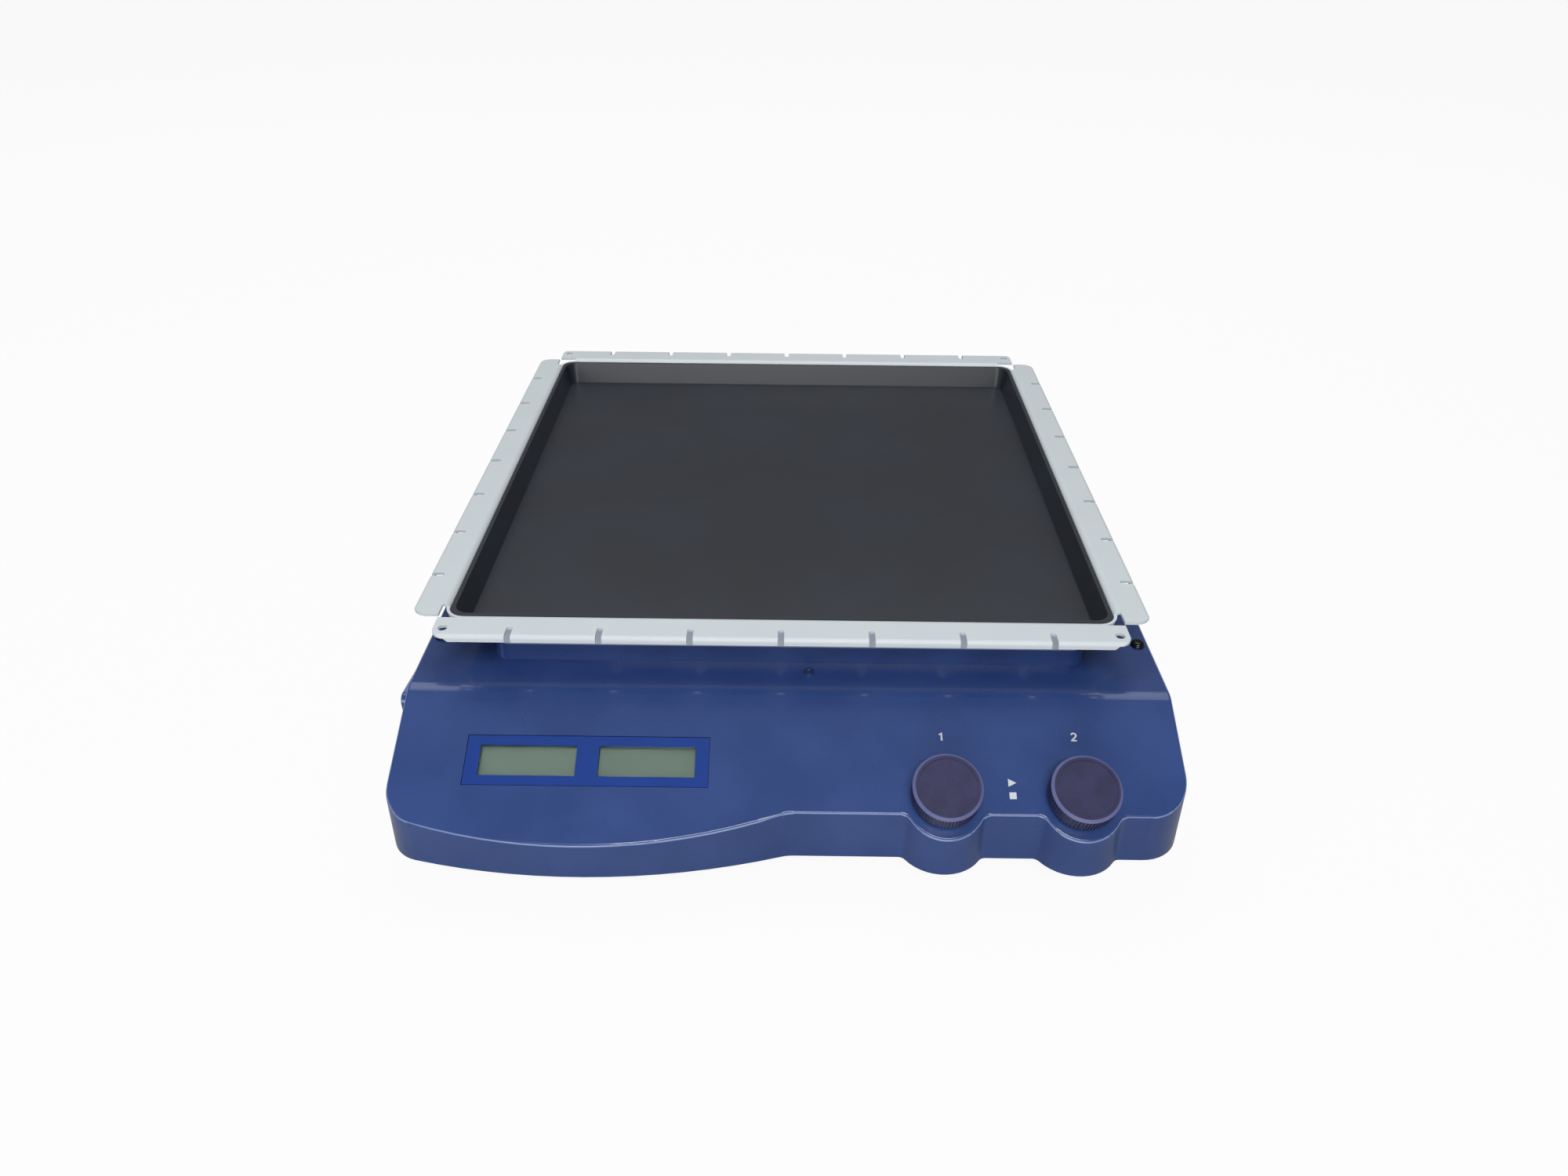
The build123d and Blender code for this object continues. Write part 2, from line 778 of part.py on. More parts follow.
with BuildPart() as drive_bearings:
    add(ring([drive_axis], drive_bore, drive_ring, low_ring, drive_ring_width))
    add(ring([drive_axis], drive_bore, drive_ring, high_ring, drive_ring_width))
drive_bearings.part.label = "drive_bearings"
export_step(drive_bearings.part, "parts/drive_bearings.step")

# Idler housings: four smaller barrels on the base, each with two bearings
idler_barrel_top = web_base - barrel_gap
idler_low = plate_top + 1.0
idler_high = idler_barrel_top - 0.5 - idler_ring_width
idler_barrel = idler_ring + 4.5

with BuildPart() as idler_housings:
    with BuildSketch(Plane.XY.offset(plate_top)):
        with Locations(*idlers):
            SlotOverall(2 * idler_flange + 3, 2 * idler_flange - 14)
    extrude(amount=idler_flange_thick)
    with BuildSketch(Plane.XY.offset(plate_top)):
        with Locations(*idlers):
            Circle(idler_barrel)
    extrude(amount=idler_barrel_top - plate_top)
    with Locations(*[(x, y, plate_top) for x, y in idlers]):
        Cylinder(
            idler_ring + seat, idler_low - plate_top + idler_ring_width,
            align=(Align.CENTER, Align.CENTER, Align.MIN), mode=Mode.SUBTRACT,
        )
        Cylinder(
            idler_ring - 2, idler_barrel_top - plate_top,
            align=(Align.CENTER, Align.CENTER, Align.MIN), mode=Mode.SUBTRACT,
        )
    with Locations(*[(x, y, idler_high) for x, y in idlers]):
        Cylinder(
            idler_ring + seat, idler_barrel_top - idler_high,
            align=(Align.CENTER, Align.CENTER, Align.MIN), mode=Mode.SUBTRACT,
        )
    with Locations(*[(x, y, plate_top) for x, y in idler_bolts]):
        Cylinder(m4 + screw_room, 2 * bolt_grip, mode=Mode.SUBTRACT)
idler_housings.part.label = "idler_housings"
export_step(idler_housings.part, "parts/idler_housings.step")

with BuildPart() as idler_bearings:
    add(ring(idlers, idler_bore, idler_ring, idler_low, idler_ring_width))
    add(ring(idlers, idler_bore, idler_ring, idler_high, idler_ring_width))
idler_bearings.part.label = "idler_bearings"
export_step(idler_bearings.part, "parts/idler_bearings.step")


# Cranks: a shaft, a round web and a pin that stands off the shaft's axis
def crank(axis, bore, web_radius, low, pin_top):
    """A crank that turns about axis, with its pin at the orbit's offset."""
    x, y = axis
    with BuildPart() as turned:
        with BuildSketch(Plane.XY.offset(low)):
            with Locations(axis):
                Circle(bore - running)
        extrude(amount=web_base - low)
        with BuildSketch(Plane.XY.offset(web_base)):
            with Locations(axis):
                Circle(web_radius)
        extrude(amount=web_thick)
        with BuildSketch(Plane.XY.offset(web_top)):
            with Locations((x + pin_dx, y + pin_dy)):
                Circle(bore - running)
        extrude(amount=pin_top - web_top)
    return turned.part


ring_roof = carrier_base - 0.5
pin_top = ring_roof - 0.3
drive_crank = crank(drive_axis, drive_bore, drive_web, plate_top + 0.6, pin_top)
drive_crank.label = "drive_crank"
export_step(drive_crank, "parts/drive_crank.step")

for number, idler in enumerate(idlers, start=1):
    idler_crank = crank(idler, idler_bore, idler_web, plate_top + 0.6, pin_top)
    idler_crank.label = f"idler_crank_{number}"
    export_step(idler_crank, f"parts/idler_crank_{number}.step")


# Belt drive: toothed pulleys on the crank and the motor, and the belt round both
def pulley(centre, teeth, bore):
    """A toothed pulley with a guard rim under its teeth."""
    outer = teeth * tooth_pitch / (2 * math.pi)
    with BuildPart() as toothed:
        with BuildSketch(Plane.XY.offset(pulley_base)):
            with Locations(centre):
                Circle(outer)
                with PolarLocations(outer, teeth):
                    Rectangle(2 * tooth_depth, 0.45 * tooth_pitch, mode=Mode.SUBTRACT)
        extrude(amount=pulley_width)
        with BuildSketch(Plane.XY.offset(pulley_base)):
            with Locations(centre):
                Circle(outer + belt_gap + belt_thick)
        extrude(amount=0.8)
        with BuildSketch(Plane.XY.offset(pulley_base)):
            with Locations(centre):
                Circle(bore)
        extrude(amount=pulley_width, mode=Mode.SUBTRACT)
    return toothed.part


weight_inner = 26.0
weight_outer = 42.0
weight_height = 8.0
weight_half_angle = 75.0
weight_bolt_radius = (weight_inner + weight_outer) / 2
away = math.degrees(math.atan2(-pin_dy, -pin_dx))
weight_bolts = [
    (
        weight_bolt_radius * math.cos(math.radians(away + turn)),
        drive_y + weight_bolt_radius * math.sin(math.radians(away + turn)),
    )
    for turn in (-50, 50)
]
drive_outer = drive_teeth * tooth_pitch / (2 * math.pi)
motor_outer = motor_teeth * tooth_pitch / (2 * math.pi)
motor_shaft = 4.0

with BuildPart() as drive_pulley:
    add(pulley(drive_axis, drive_teeth, drive_bore))
    with BuildSketch(Plane.XY.offset(pulley_base)):
        with Locations(drive_axis):
            with PolarLocations(weight_bolt_radius - 6, 6, start_angle=away + 180):
                Circle(6)
    extrude(amount=pulley_width, mode=Mode.SUBTRACT)
    with Locations(*[(x, y, web_base) for x, y in weight_bolts]):
        Cylinder(m4 + screw_room, pulley_width, mode=Mode.SUBTRACT)
drive_pulley.part.label = "drive_pulley"
export_step(drive_pulley.part, "parts/drive_pulley.step")

with BuildPart() as counterweight:
    with BuildSketch(Plane.XY.offset(web_base)):
        with Locations(Location((0, drive_y, 0), (0, 0, away))):
            Circle(weight_outer)
            Circle(weight_inner, mode=Mode.SUBTRACT)
            reach = 2 * weight_outer
            spread = math.radians(weight_half_angle)
            Polygon(
                (0, 0),
                (reach * math.cos(spread), reach * math.sin(spread)),
                (reach, reach * math.sin(spread)),
                (reach, -reach * math.sin(spread)),
                (reach * math.cos(spread), -reach * math.sin(spread)),
                align=None,
                mode=Mode.INTERSECT,
            )
    extrude(amount=weight_height)
    with Locations(*[(x, y, web_base) for x, y in weight_bolts]):
        Cylinder(m4 + screw_room, 3 * weight_height, mode=Mode.SUBTRACT)
counterweight.part.label = "counterweight"
export_step(counterweight.part, "parts/counterweight.step")

weight_screws = socket_screws(
    Plane.XY.offset(web_base + weight_height), weight_bolts, m4, weight_height + 3.5, 1.8 * m4, m4
)
weight_screws.label = "weight_screws"
export_step(weight_screws, "parts/weight_screws.step")

motor_pulley = pulley((motor_x, motor_y), motor_teeth, motor_shaft)
motor_pulley.label = "motor_pulley"
export_step(motor_pulley, "parts/motor_pulley.step")


def belt_outline(extra):
    """The belt's run round both pulleys, a distance outside their teeth."""
    with BuildSketch(Plane.XY.offset(pulley_base + 1.1)) as run:
        with Locations(drive_axis):
            Circle(drive_outer + extra)
        with Locations((motor_x, motor_y)):
            Circle(motor_outer + extra)
        make_hull()
    return run.sketch


with BuildPart() as drive_belt:
    add(belt_outline(belt_gap + belt_thick))
    extrude(amount=belt_width)
    add(belt_outline(belt_gap))
    extrude(amount=belt_width, mode=Mode.SUBTRACT)
drive_belt.part.label = "drive_belt"
export_step(drive_belt.part, "parts/drive_belt.step")

# Motor: a can hung under a bridge, with its stator, its rotor and four screws
bracket_top = pulley_base - 1.0
bracket_base = bracket_top - bracket_thick
can_radius = 29.0
can_height = 21.0
can_wall = 2.5
can_base = bracket_base - can_height
motor_neck = 8.0
motor_bolts = [
    (motor_x + 23 * math.cos(math.radians(a)), motor_y + 23 * math.sin(math.radians(a)))
    for a in (45, 135, 225, 315)
]
stator_height = can_height - 2 * can_wall - 2

with BuildPart() as motor_bracket:
    with BuildSketch(Plane.YZ.offset(motor_x - bracket_width / 2)):
        half = bracket_depth / 2
        with Locations((motor_y, plate_top)):
            with Locations((0, bracket_top - plate_top - bracket_thick / 2)):
                Rectangle(bracket_depth, bracket_thick)
            for side in (-1, 1):
                with Locations((side * (half - bracket_thick / 2), (bracket_top - plate_top) / 2)):
                    Rectangle(bracket_thick, bracket_top - plate_top)
                with Locations((side * (half + bracket_foot / 2 - bracket_thick / 2), 0)):
                    Rectangle(
                        bracket_foot + bracket_thick, bolt_grip,
                        align=(Align.CENTER, Align.MIN),
                    )
    extrude(amount=bracket_width)
    with Locations(*[(x, y, plate_top) for x, y in bracket_bolts]):
        Cylinder(m4 + screw_room, 3 * bolt_grip, mode=Mode.SUBTRACT)
    with Locations((motor_x, motor_y, bracket_top)):
        Cylinder(motor_neck + 0.3, 3 * bracket_thick, mode=Mode.SUBTRACT)
    with Locations(*[(x, y, bracket_top) for x, y in motor_bolts]):
        Cylinder(m3 + screw_room, 3 * bracket_thick, mode=Mode.SUBTRACT)
motor_bracket.part.label = "motor_bracket"
export_step(motor_bracket.part, "parts/motor_bracket.step")

with BuildPart() as motor_can:
    with BuildSketch(Plane.XY.offset(can_base)):
        with Locations((motor_x, motor_y)):
            Circle(can_radius)
    extrude(amount=can_height)
    fillet(motor_can.faces().sort_by(Axis.Z)[0].edges(), 2)
    with BuildSketch(Plane.XY.offset(bracket_base)):
        with Locations((motor_x, motor_y)):
            Circle(motor_neck)
    extrude(amount=bracket_thick + 0.4)
    with BuildSketch(Plane.XY.offset(can_base + can_wall)):
        with Locations((motor_x, motor_y)):
            Circle(can_radius - can_wall)
    extrude(amount=can_height - 2 * can_wall, mode=Mode.SUBTRACT)
    with BuildSketch(Plane.XY.offset(can_base + can_wall)):
        with Locations((motor_x, motor_y)):
            Circle(motor_shaft + running)
        with Locations(*motor_bolts):
            Circle(m3 + screw_room)
    extrude(amount=can_height + bracket_thick, mode=Mode.SUBTRACT)
motor_can.part.label = "motor_can"
export_step(motor_can.part, "parts/motor_can.step")

motor_stator = ring(
    [(motor_x, motor_y)], can_radius - can_wall - 10, can_radius - can_wall - 5,
    can_base + can_wall, stator_height,
)
motor_stator.label = "motor_stator"
export_step(motor_stator, "parts/motor_stator.step")

with BuildPart() as motor_rotor:
    with BuildSketch(Plane.XY.offset(can_base + can_wall + 0.5)):
        with Locations((motor_x, motor_y)):
            Circle(motor_shaft - running)
    extrude(amount=pulley_base + pulley_width + 1 - can_base - can_wall - 0.5)
    with BuildSketch(Plane.XY.offset(can_base + can_wall + 1)):
        with Locations((motor_x, motor_y)):
            Circle(can_radius - can_wall - 10.5)
    extrude(amount=stator_height - 1)
motor_rotor.part.label = "motor_rotor"
export_step(motor_rotor.part, "parts/motor_rotor.step")

motor_screws = socket_screws(
    Plane.XY.offset(bracket_top), motor_bolts, m3, bracket_thick + can_wall + 1, 1.8 * m3, m3
)
motor_screws.label = "motor_screws"
export_step(motor_screws, "parts/motor_screws.step")

# Carrier: one casting with a plate, a drive hub and four idler hubs
pins = [(x + pin_dx, y + pin_dy) for x, y in idlers]
tray_posts_at = [(tray_x + x, tray_y + y) for x, y in posts]
drive_hub = drive_ring + 5.0
idler_hub = idler_ring + 4.0

with BuildPart() as carrier:
    with BuildSketch(Plane.XY.offset(carrier_base)):
        with Locations((tray_x, tray_y)):
            RectangleRounded(carrier_width, carrier_depth, carrier_corner)
            with Locations((-58, 0), (58, 0)):
                RectangleRounded(52, 100, 8, mode=Mode.SUBTRACT)
            with Locations((0, -87), (0, 87)):
                RectangleRounded(104, 50, 8, mode=Mode.SUBTRACT)
    extrude(amount=carrier_thick)
    with BuildSketch(Plane.XY.offset(hub_base)):
        with Locations((tray_x, tray_y)):
            Circle(drive_hub)
        with Locations(*pins):
            Circle(idler_hub)
    extrude(amount=hub_depth)
    with BuildSketch(Plane.XY.offset(hub_base)):
        with Locations((tray_x, tray_y)):
            Circle(drive_ring + seat)
        with Locations(*pins):
            Circle(idler_ring + seat)
    extrude(amount=ring_roof - hub_base, mode=Mode.SUBTRACT)
    with Locations(*[(x, y, carrier_top) for x, y in tray_posts_at]):
        Cylinder(tray_screw + screw_room, 3 * carrier_thick, mode=Mode.SUBTRACT)
carrier.part.label = "carrier"
export_step(carrier.part, "parts/carrier.step")

with BuildPart() as carrier_bearings:
    add(ring([(tray_x, tray_y)], drive_bore, drive_ring, ring_roof - drive_ring_width, drive_ring_width))
    add(ring(pins, idler_bore, idler_ring, ring_roof - idler_ring_width, idler_ring_width))
carrier_bearings.part.label = "carrier_bearings"
export_step(carrier_bearings.part, "parts/carrier_bearings.step")

tray_posts = ring(tray_posts_at, tray_screw + screw_room, post_radius, carrier_top, tray_base - carrier_top)
tray_posts.label = "tray_posts"
export_step(tray_posts, "parts/tray_posts.step")

head_height = 1.6
head_radius = 5.0
tray_screws = socket_screws(
    Plane.XY.offset(tray_floor), tray_posts_at, tray_screw,
    tray_floor - carrier_base - 0.5, head_radius, head_height,
)
tray_screws.label = "tray_screws"
export_step(tray_screws, "parts/tray_screws.step")

# Rubber mat: a thin moulded dish, with pockets underneath for the tray's screw heads
skin = mat_wall / math.cos(math.radians(pan_lean))
mat_x = mat_floor_x / 2 + skin - mat_floor * lean
mat_y = mat_floor_y / 2 + skin - mat_floor * lean

with BuildPart() as rubber_mat:
    add(pan_plan(mat_x, mat_y, mat_corner, tray_floor))
    extrude(amount=mat_rim - tray_floor, taper=-pan_lean)
    add(pan_plan(mat_floor_x / 2, mat_floor_y / 2, mat_corner, mat_top))
    extrude(amount=mat_rim - mat_top, taper=-pan_lean, mode=Mode.SUBTRACT)
    with Locations(*[(x, y, tray_floor) for x, y in tray_posts_at]):
        Cylinder(head_radius + 0.5, 2 * head_height + 0.4, mode=Mode.SUBTRACT)
rubber_mat.part.label = "rubber_mat"
export_step(rubber_mat.part, "parts/rubber_mat.step")

# Dish tray: a pan of folded sheet, with a flange and a turned-down lip on each side
side_skin = sheet / math.cos(math.radians(pan_lean))
pan_x = mat_x + mat_gap
pan_y = mat_y + mat_gap
pan_corner = mat_corner + mat_gap
run_x = pan_x - pan_corner
run_y = pan_y - pan_corner
bend_low = flange_top - sheet - bend_radius
flange_mid = flange_top - sheet / 2
bend_reach = bend_radius * math.tan(math.radians(90 - pan_lean) / 2)


def flange(pan_half, run, reach, length, corner, slot_end):
    """One folded side of the tray, made towards +Y about the tray's own centre."""
    foot = pan_half + side_skin / 2
    bend = foot + (flange_mid - tray_floor) * lean
    lip = reach - sheet / 2
    lip_low = flange_top - lip_drop
    lip_half = length / 2 - lip_setback
    with BuildPart() as folded:
        with BuildSketch(Plane.YZ):
            with BuildLine():
                FilletPolyline(
                    (foot + (bend_low - 4 - tray_floor) * lean, bend_low - 4),
                    (bend, flange_mid),
                    (lip, flange_mid),
                    (lip, lip_low),
                    radius=(bend_radius, lip_bend),
                )
            trace(line_width=sheet)
        extrude(amount=length / 2, both=True)
        with BuildSketch(Plane.XY.offset(bend_low - 6)) as plan:
            with Locations((0, reach / 2)):
                Rectangle(length, reach)
            fillet(plan.vertices().group_by(Axis.Y)[-1], corner)
            for side in (-1, 1):
                with Locations((side * (run + length) / 2, (bend + bend_reach) / 2)):
                    Rectangle(length - run, bend + bend_reach, mode=Mode.SUBTRACT)
            with GridLocations(slot_pitch, 0, slot_count, 1):
                with Locations((0, slot_end + slot_width / 2)):
                    Circle(slot_width / 2, mode=Mode.SUBTRACT)
                    Rectangle(
                        slot_width, reach - slot_end,
                        align=(Align.CENTER, Align.MIN), mode=Mode.SUBTRACT,
                    )
        extrude(amount=flange_top - bend_low + 6, mode=Mode.INTERSECT)
        with BuildSketch(Plane.XZ.offset(-reach - sheet)):
            for side in (-1, 1):
                Polygon(
                    (side * lip_half, flange_top - sheet),
                    (side * (lip_half - lip_drop), lip_low - sheet),
                    (side * length, lip_low - sheet),
                    (side * length, flange_top - sheet),
                    align=None,
                )
        extrude(amount=4 * sheet, mode=Mode.SUBTRACT)
    return folded.part


tray_corners = [(x, y) for x in (-rail_hole_x, rail_hole_x) for y in (-rail_hole_y, rail_hole_y)]

with BuildPart() as dish_tray:
    with BuildSketch(Plane.XY.offset(tray_base)):
        RectangleRounded(
            2 * (pan_x + side_skin - sheet * lean), 2 * (pan_y + side_skin - sheet * lean), pan_corner + sheet
        )
    extrude(amount=flange_top - sheet - tray_base, taper=-pan_lean)
    with BuildSketch(Plane.XY.offset(tray_floor)):
        RectangleRounded(2 * pan_x, 2 * pan_y, pan_corner)
    extrude(amount=flange_top - tray_floor, taper=-pan_lean, mode=Mode.SUBTRACT)
    with Locations((0, 0, bend_low)):
        Box(2 * run_x, 3 * pan_y, sheet + bend_radius, align=(Align.CENTER, Align.CENTER, Align.MIN),
            mode=Mode.SUBTRACT)
        Box(3 * pan_x, 2 * run_y, sheet + bend_radius, align=(Align.CENTER, Align.CENTER, Align.MIN),
            mode=Mode.SUBTRACT)
    rail = flange(pan_y, run_x, rail_reach, rail_length, rail_corner, slot_end_y)
    side = flange(pan_x, run_y, side_reach, side_length, side_corner, slot_end_x)
    for turn in (0, 180):
        add(rail, rotation=(0, 0, turn))
        add(side, rotation=(0, 0, turn + 90))
    with Locations(*[(x, y, flange_top) for x, y in tray_corners]):
        Cylinder(rail_hole_radius, 4 * sheet, mode=Mode.SUBTRACT)
    with Locations(*[(x, y, tray_floor) for x, y in posts]):
        Cylinder(tray_screw + 0.25, 4 * sheet, mode=Mode.SUBTRACT)
dish_tray = Pos(tray_x, tray_y, 0) * dish_tray.part
dish_tray.label = "dish_tray"
export_step(dish_tray, "parts/dish_tray.step")

# Power supply: a closed steel case with a terminal shelf at its front
shelf_depth = 20.0
shelf_height = 14.0
supply_front = drive_y - supply_depth / 2

with BuildPart() as power_supply:
    with Locations((supply_x, drive_y, plate_top)):
        Box(supply_width, supply_depth, supply_height, align=(Align.CENTER, Align.CENTER, Align.MIN))
    with Locations((supply_x, supply_front, plate_top + shelf_height)):
        Box(
            supply_width, shelf_depth, supply_height,
            align=(Align.CENTER, Align.MIN, Align.MIN), mode=Mode.SUBTRACT,
        )
    with Locations((supply_x, supply_front + 3, plate_top + shelf_height)):
        Box(supply_width - 12, shelf_depth - 6, 9, align=(Align.CENTER, Align.MIN, Align.MIN))
    with Locations((supply_x, supply_front + 3 + (shelf_depth - 6) / 2, plate_top + shelf_height + 9)):
        with GridLocations(9, 0, 7, 1):
            Box(1.6, shelf_depth - 6, 3, align=(Align.CENTER, Align.CENTER, Align.MIN))
    with BuildSketch(Plane.XY.offset(plate_top + supply_height)):
        with Locations((supply_x, drive_y + shelf_depth / 2)):
            with GridLocations(0, 11, 1, 8):
                SlotOverall(supply_width - 18, 4)
    extrude(amount=-1.2, mode=Mode.SUBTRACT)
    with Locations(*[(x, y, plate_top) for x, y in supply_bolts]):
        Cylinder(m4 + screw_room, 2 * bolt_grip, mode=Mode.SUBTRACT)
power_supply.part.label = "power_supply"
export_step(power_supply.part, "parts/power_supply.step")

# Control board on four posts, with the larger parts that stand on it
board_at = (2.0, -105.0)
board_width = 110.0
board_depth = 60.0
board_thick = 1.6
standoff_height = 6.0
board_base = plate_top + standoff_height
board_top = board_base + board_thick
board_holes = [
    (board_at[0] + x, board_at[1] + y)
    for x in (-board_width / 2 + 5, board_width / 2 - 5)
    for y in (-board_depth / 2 + 5, board_depth / 2 - 5)
]

with BuildPart() as control_board:
    with BuildSketch(Plane.XY.offset(board_base)):
        with Locations(board_at):
            RectangleRounded(board_width, board_depth, 3)
        with Locations(*board_holes):
            Circle(m3 + screw_room, mode=Mode.SUBTRACT)
    extrude(amount=board_thick)
    with Locations((board_at[0], board_at[1], board_top)):
        with Locations((-30, 14, 0), (-14, 14, 0)):
            Cylinder(6, 16, align=(Align.CENTER, Align.CENTER, Align.MIN))
        with Locations((-8, -8, 0)):
            Box(14, 14, 1.4, align=(Align.CENTER, Align.CENTER, Align.MIN))
        with Locations((22, 12, 0)):
            Box(34, 12, 4, align=(Align.CENTER, Align.CENTER, Align.MIN))
            with GridLocations(5.5, 0, 6, 1):
                Box(1.6, 12, 18, align=(Align.CENTER, Align.CENTER, Align.MIN))
        with Locations((-40, -16, 0), (-24, -22, 0), (14, -22, 0), (34, -22, 0)):
            Box(12, 6, 7, align=(Align.CENTER, Align.CENTER, Align.MIN))
control_board.part.label = "control_board"
export_step(control_board.part, "parts/control_board.step")

board_standoffs = ring(board_holes, m3 + screw_room, 3.2, plate_top, standoff_height)
board_standoffs.label = "board_standoffs"
export_step(board_standoffs, "parts/board_standoffs.step")

board_screws = socket_screws(
    Plane.XY.offset(board_top), board_holes, m3, board_thick + 4.0, 1.8 * m3, m3
)
board_screws.label = "board_screws"
export_step(board_screws, "parts/board_screws.step")

# Power inlet in the rear bay: flange, body, socket and three pins
inlet_flange = 2.0
socket_width = 22.5
socket_height = 15.5
socket_depth = 15.0
pin_reach = 10.0
inlet_face = bay_face.offset(inlet_flange)

with BuildPart() as power_inlet:
    with BuildSketch(bay_face):
        with Locations((-inlet_x, bay_middle)):
            RectangleRounded(2 * inlet_ear + 10, 26, 5)
    extrude(amount=inlet_flange)
    with BuildSketch(bay_face):
        with Locations((-inlet_x, bay_middle)):
            Rectangle(inlet_width, inlet_height)
    extrude(amount=-inlet_depth)
    with BuildSketch(inlet_face) as socket:
        with Locations((-inlet_x, bay_middle)):
            Rectangle(socket_width, socket_height)
        chamfer(socket.vertices().group_by(Axis.Z)[-1], 4)
    extrude(amount=-socket_depth, mode=Mode.SUBTRACT)
    with BuildSketch(inlet_face.offset(-socket_depth)):
        with Locations((-inlet_x, bay_middle)):
            with Locations((-7, -2), (0, 2), (7, -2)):
                Rectangle(2, 4)
    extrude(amount=pin_reach)
    with BuildSketch(inlet_face):
        with Locations(*inlet_ears):
            Circle(m3 + screw_room)
    extrude(amount=-2 * inlet_flange, mode=Mode.SUBTRACT)
power_inlet.part.label = "power_inlet"
export_step(power_inlet.part, "parts/power_inlet.step")

inlet_screws = socket_screws(inlet_face, inlet_ears, m3, 7.0, 1.8 * m3, 0.8 * m3)
inlet_screws.label = "inlet_screws"
export_step(inlet_screws, "parts/inlet_screws.step")

# Power switch: a snap-in frame, and a rocker that tips on two stubs
frame_flange = 1.6
rocker_room = 0.3
rocker_well_width = 12.0
rocker_well_height = 25.2
rocker_well_depth = 9.0
rocker_radius = 12.2
rocker_tip = 10.0
stub_radius = 1.2
pivot_sunk = 2.0
pivot_y = bay_y + frame_flange - pivot_sunk

with BuildPart() as switch_frame:
    with BuildSketch(bay_face):
        with Locations((-switch_x, bay_middle)):
            RectangleRounded(switch_width + 3.4, switch_height + 3, 1.5)
    extrude(amount=frame_flange)
    with BuildSketch(bay_face):
        with Locations((-switch_x, bay_middle)):
            Rectangle(switch_width, switch_height)
    extrude(amount=-switch_depth)
    with BuildSketch(bay_face.offset(frame_flange)):
        with Locations((-switch_x, bay_middle)):
            Rectangle(rocker_well_width, rocker_well_height)
    extrude(amount=-rocker_well_depth, mode=Mode.SUBTRACT)
    with Locations((switch_x, pivot_y, bay_middle)):
        Cylinder(stub_radius + running, switch_width - 0.4, rotation=(0, 90, 0), mode=Mode.SUBTRACT)
switch_frame.part.label = "switch_frame"
export_step(switch_frame.part, "parts/switch_frame.step")

with BuildPart() as switch_rocker:
    with BuildSketch(Plane.YZ.offset(switch_x)):
        with Locations(Location((pivot_y, bay_middle, 0), (0, 0, -rocker_tip))):
            Circle(rocker_radius)
            Polygon(
                (5.4, 14), (3, 0), (5.4, -14), (-1, -14), (-4, 0), (-1, 14),
                align=None, mode=Mode.INTERSECT,
            )
    extrude(amount=rocker_well_width / 2 - rocker_room, both=True)
    with Locations((switch_x, pivot_y, bay_middle)):
        Cylinder(stub_radius, switch_width - 1, rotation=(0, 90, 0))
switch_rocker.part.label = "switch_rocker"
export_step(switch_rocker.part, "parts/switch_rocker.step")
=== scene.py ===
import math

import bmesh
import bpy
from mathutils import Matrix, Vector


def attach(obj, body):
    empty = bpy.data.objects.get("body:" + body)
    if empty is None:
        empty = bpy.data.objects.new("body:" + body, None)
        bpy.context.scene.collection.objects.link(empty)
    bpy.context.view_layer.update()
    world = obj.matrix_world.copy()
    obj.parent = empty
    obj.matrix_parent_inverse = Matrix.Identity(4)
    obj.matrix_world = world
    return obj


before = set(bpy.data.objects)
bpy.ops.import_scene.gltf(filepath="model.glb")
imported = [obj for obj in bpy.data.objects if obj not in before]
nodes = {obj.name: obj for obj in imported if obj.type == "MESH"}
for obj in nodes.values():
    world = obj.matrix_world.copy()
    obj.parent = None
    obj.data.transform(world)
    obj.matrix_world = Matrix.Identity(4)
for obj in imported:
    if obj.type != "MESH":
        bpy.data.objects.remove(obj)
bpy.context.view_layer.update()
scene = bpy.context.scene

# Camera: above and in front of the shaker's control panel, looking down by 33 degrees. Its
# angles, place and focal length were worked out from the straight edges of the tray and housing.
PITCH, YAW, ROLL = math.radians(33.12), -0.004, -0.010
CAMERA_PLACE = (-0.00115, -0.5642, 0.3989)
SENSOR_WIDTH = 36
FOCAL_LENGTH, PICTURE_WIDTH = 1413, 2000  # both in pixels
ahead = Vector((math.sin(YAW) * math.cos(PITCH), math.cos(YAW) * math.cos(PITCH),
                -math.sin(PITCH)))
level = Vector((math.cos(YAW), -math.sin(YAW), 0))
down = ahead.cross(level)
right = math.cos(ROLL) * level + math.sin(ROLL) * down
down = math.cos(ROLL) * down - math.sin(ROLL) * level
camera = bpy.data.objects.new("camera", bpy.data.cameras.new("camera"))
camera.data.sensor_width = SENSOR_WIDTH
camera.data.lens = SENSOR_WIDTH * FOCAL_LENGTH / PICTURE_WIDTH
camera.data.clip_start = 0.01
camera.matrix_world = Matrix.Translation(CAMERA_PLACE) @ Matrix(
    (right, -down, -ahead)
).transposed().to_4x4()
scene.collection.objects.link(camera)
scene.camera = camera
scene.view_settings.view_transform = "Standard"


# Studio: a white floor that keeps the object's shadow, a dim surround and four soft lamps. The
# largest hangs overhead, so the tray shades the flat top but not the sloping panel. A low one
# stands in front, a narrow one above it draws the thin highlights, and a small one lights the left.
def srgb(code):
    """The linear colour of an sRGB hex value such as #336699."""
    parts = [int(code[i:i + 2], 16) / 255 for i in (1, 3, 5)]
    return (*[p / 12.92 if p <= 0.04045 else ((p + 0.055) / 1.055) ** 2.4 for p in parts], 1)


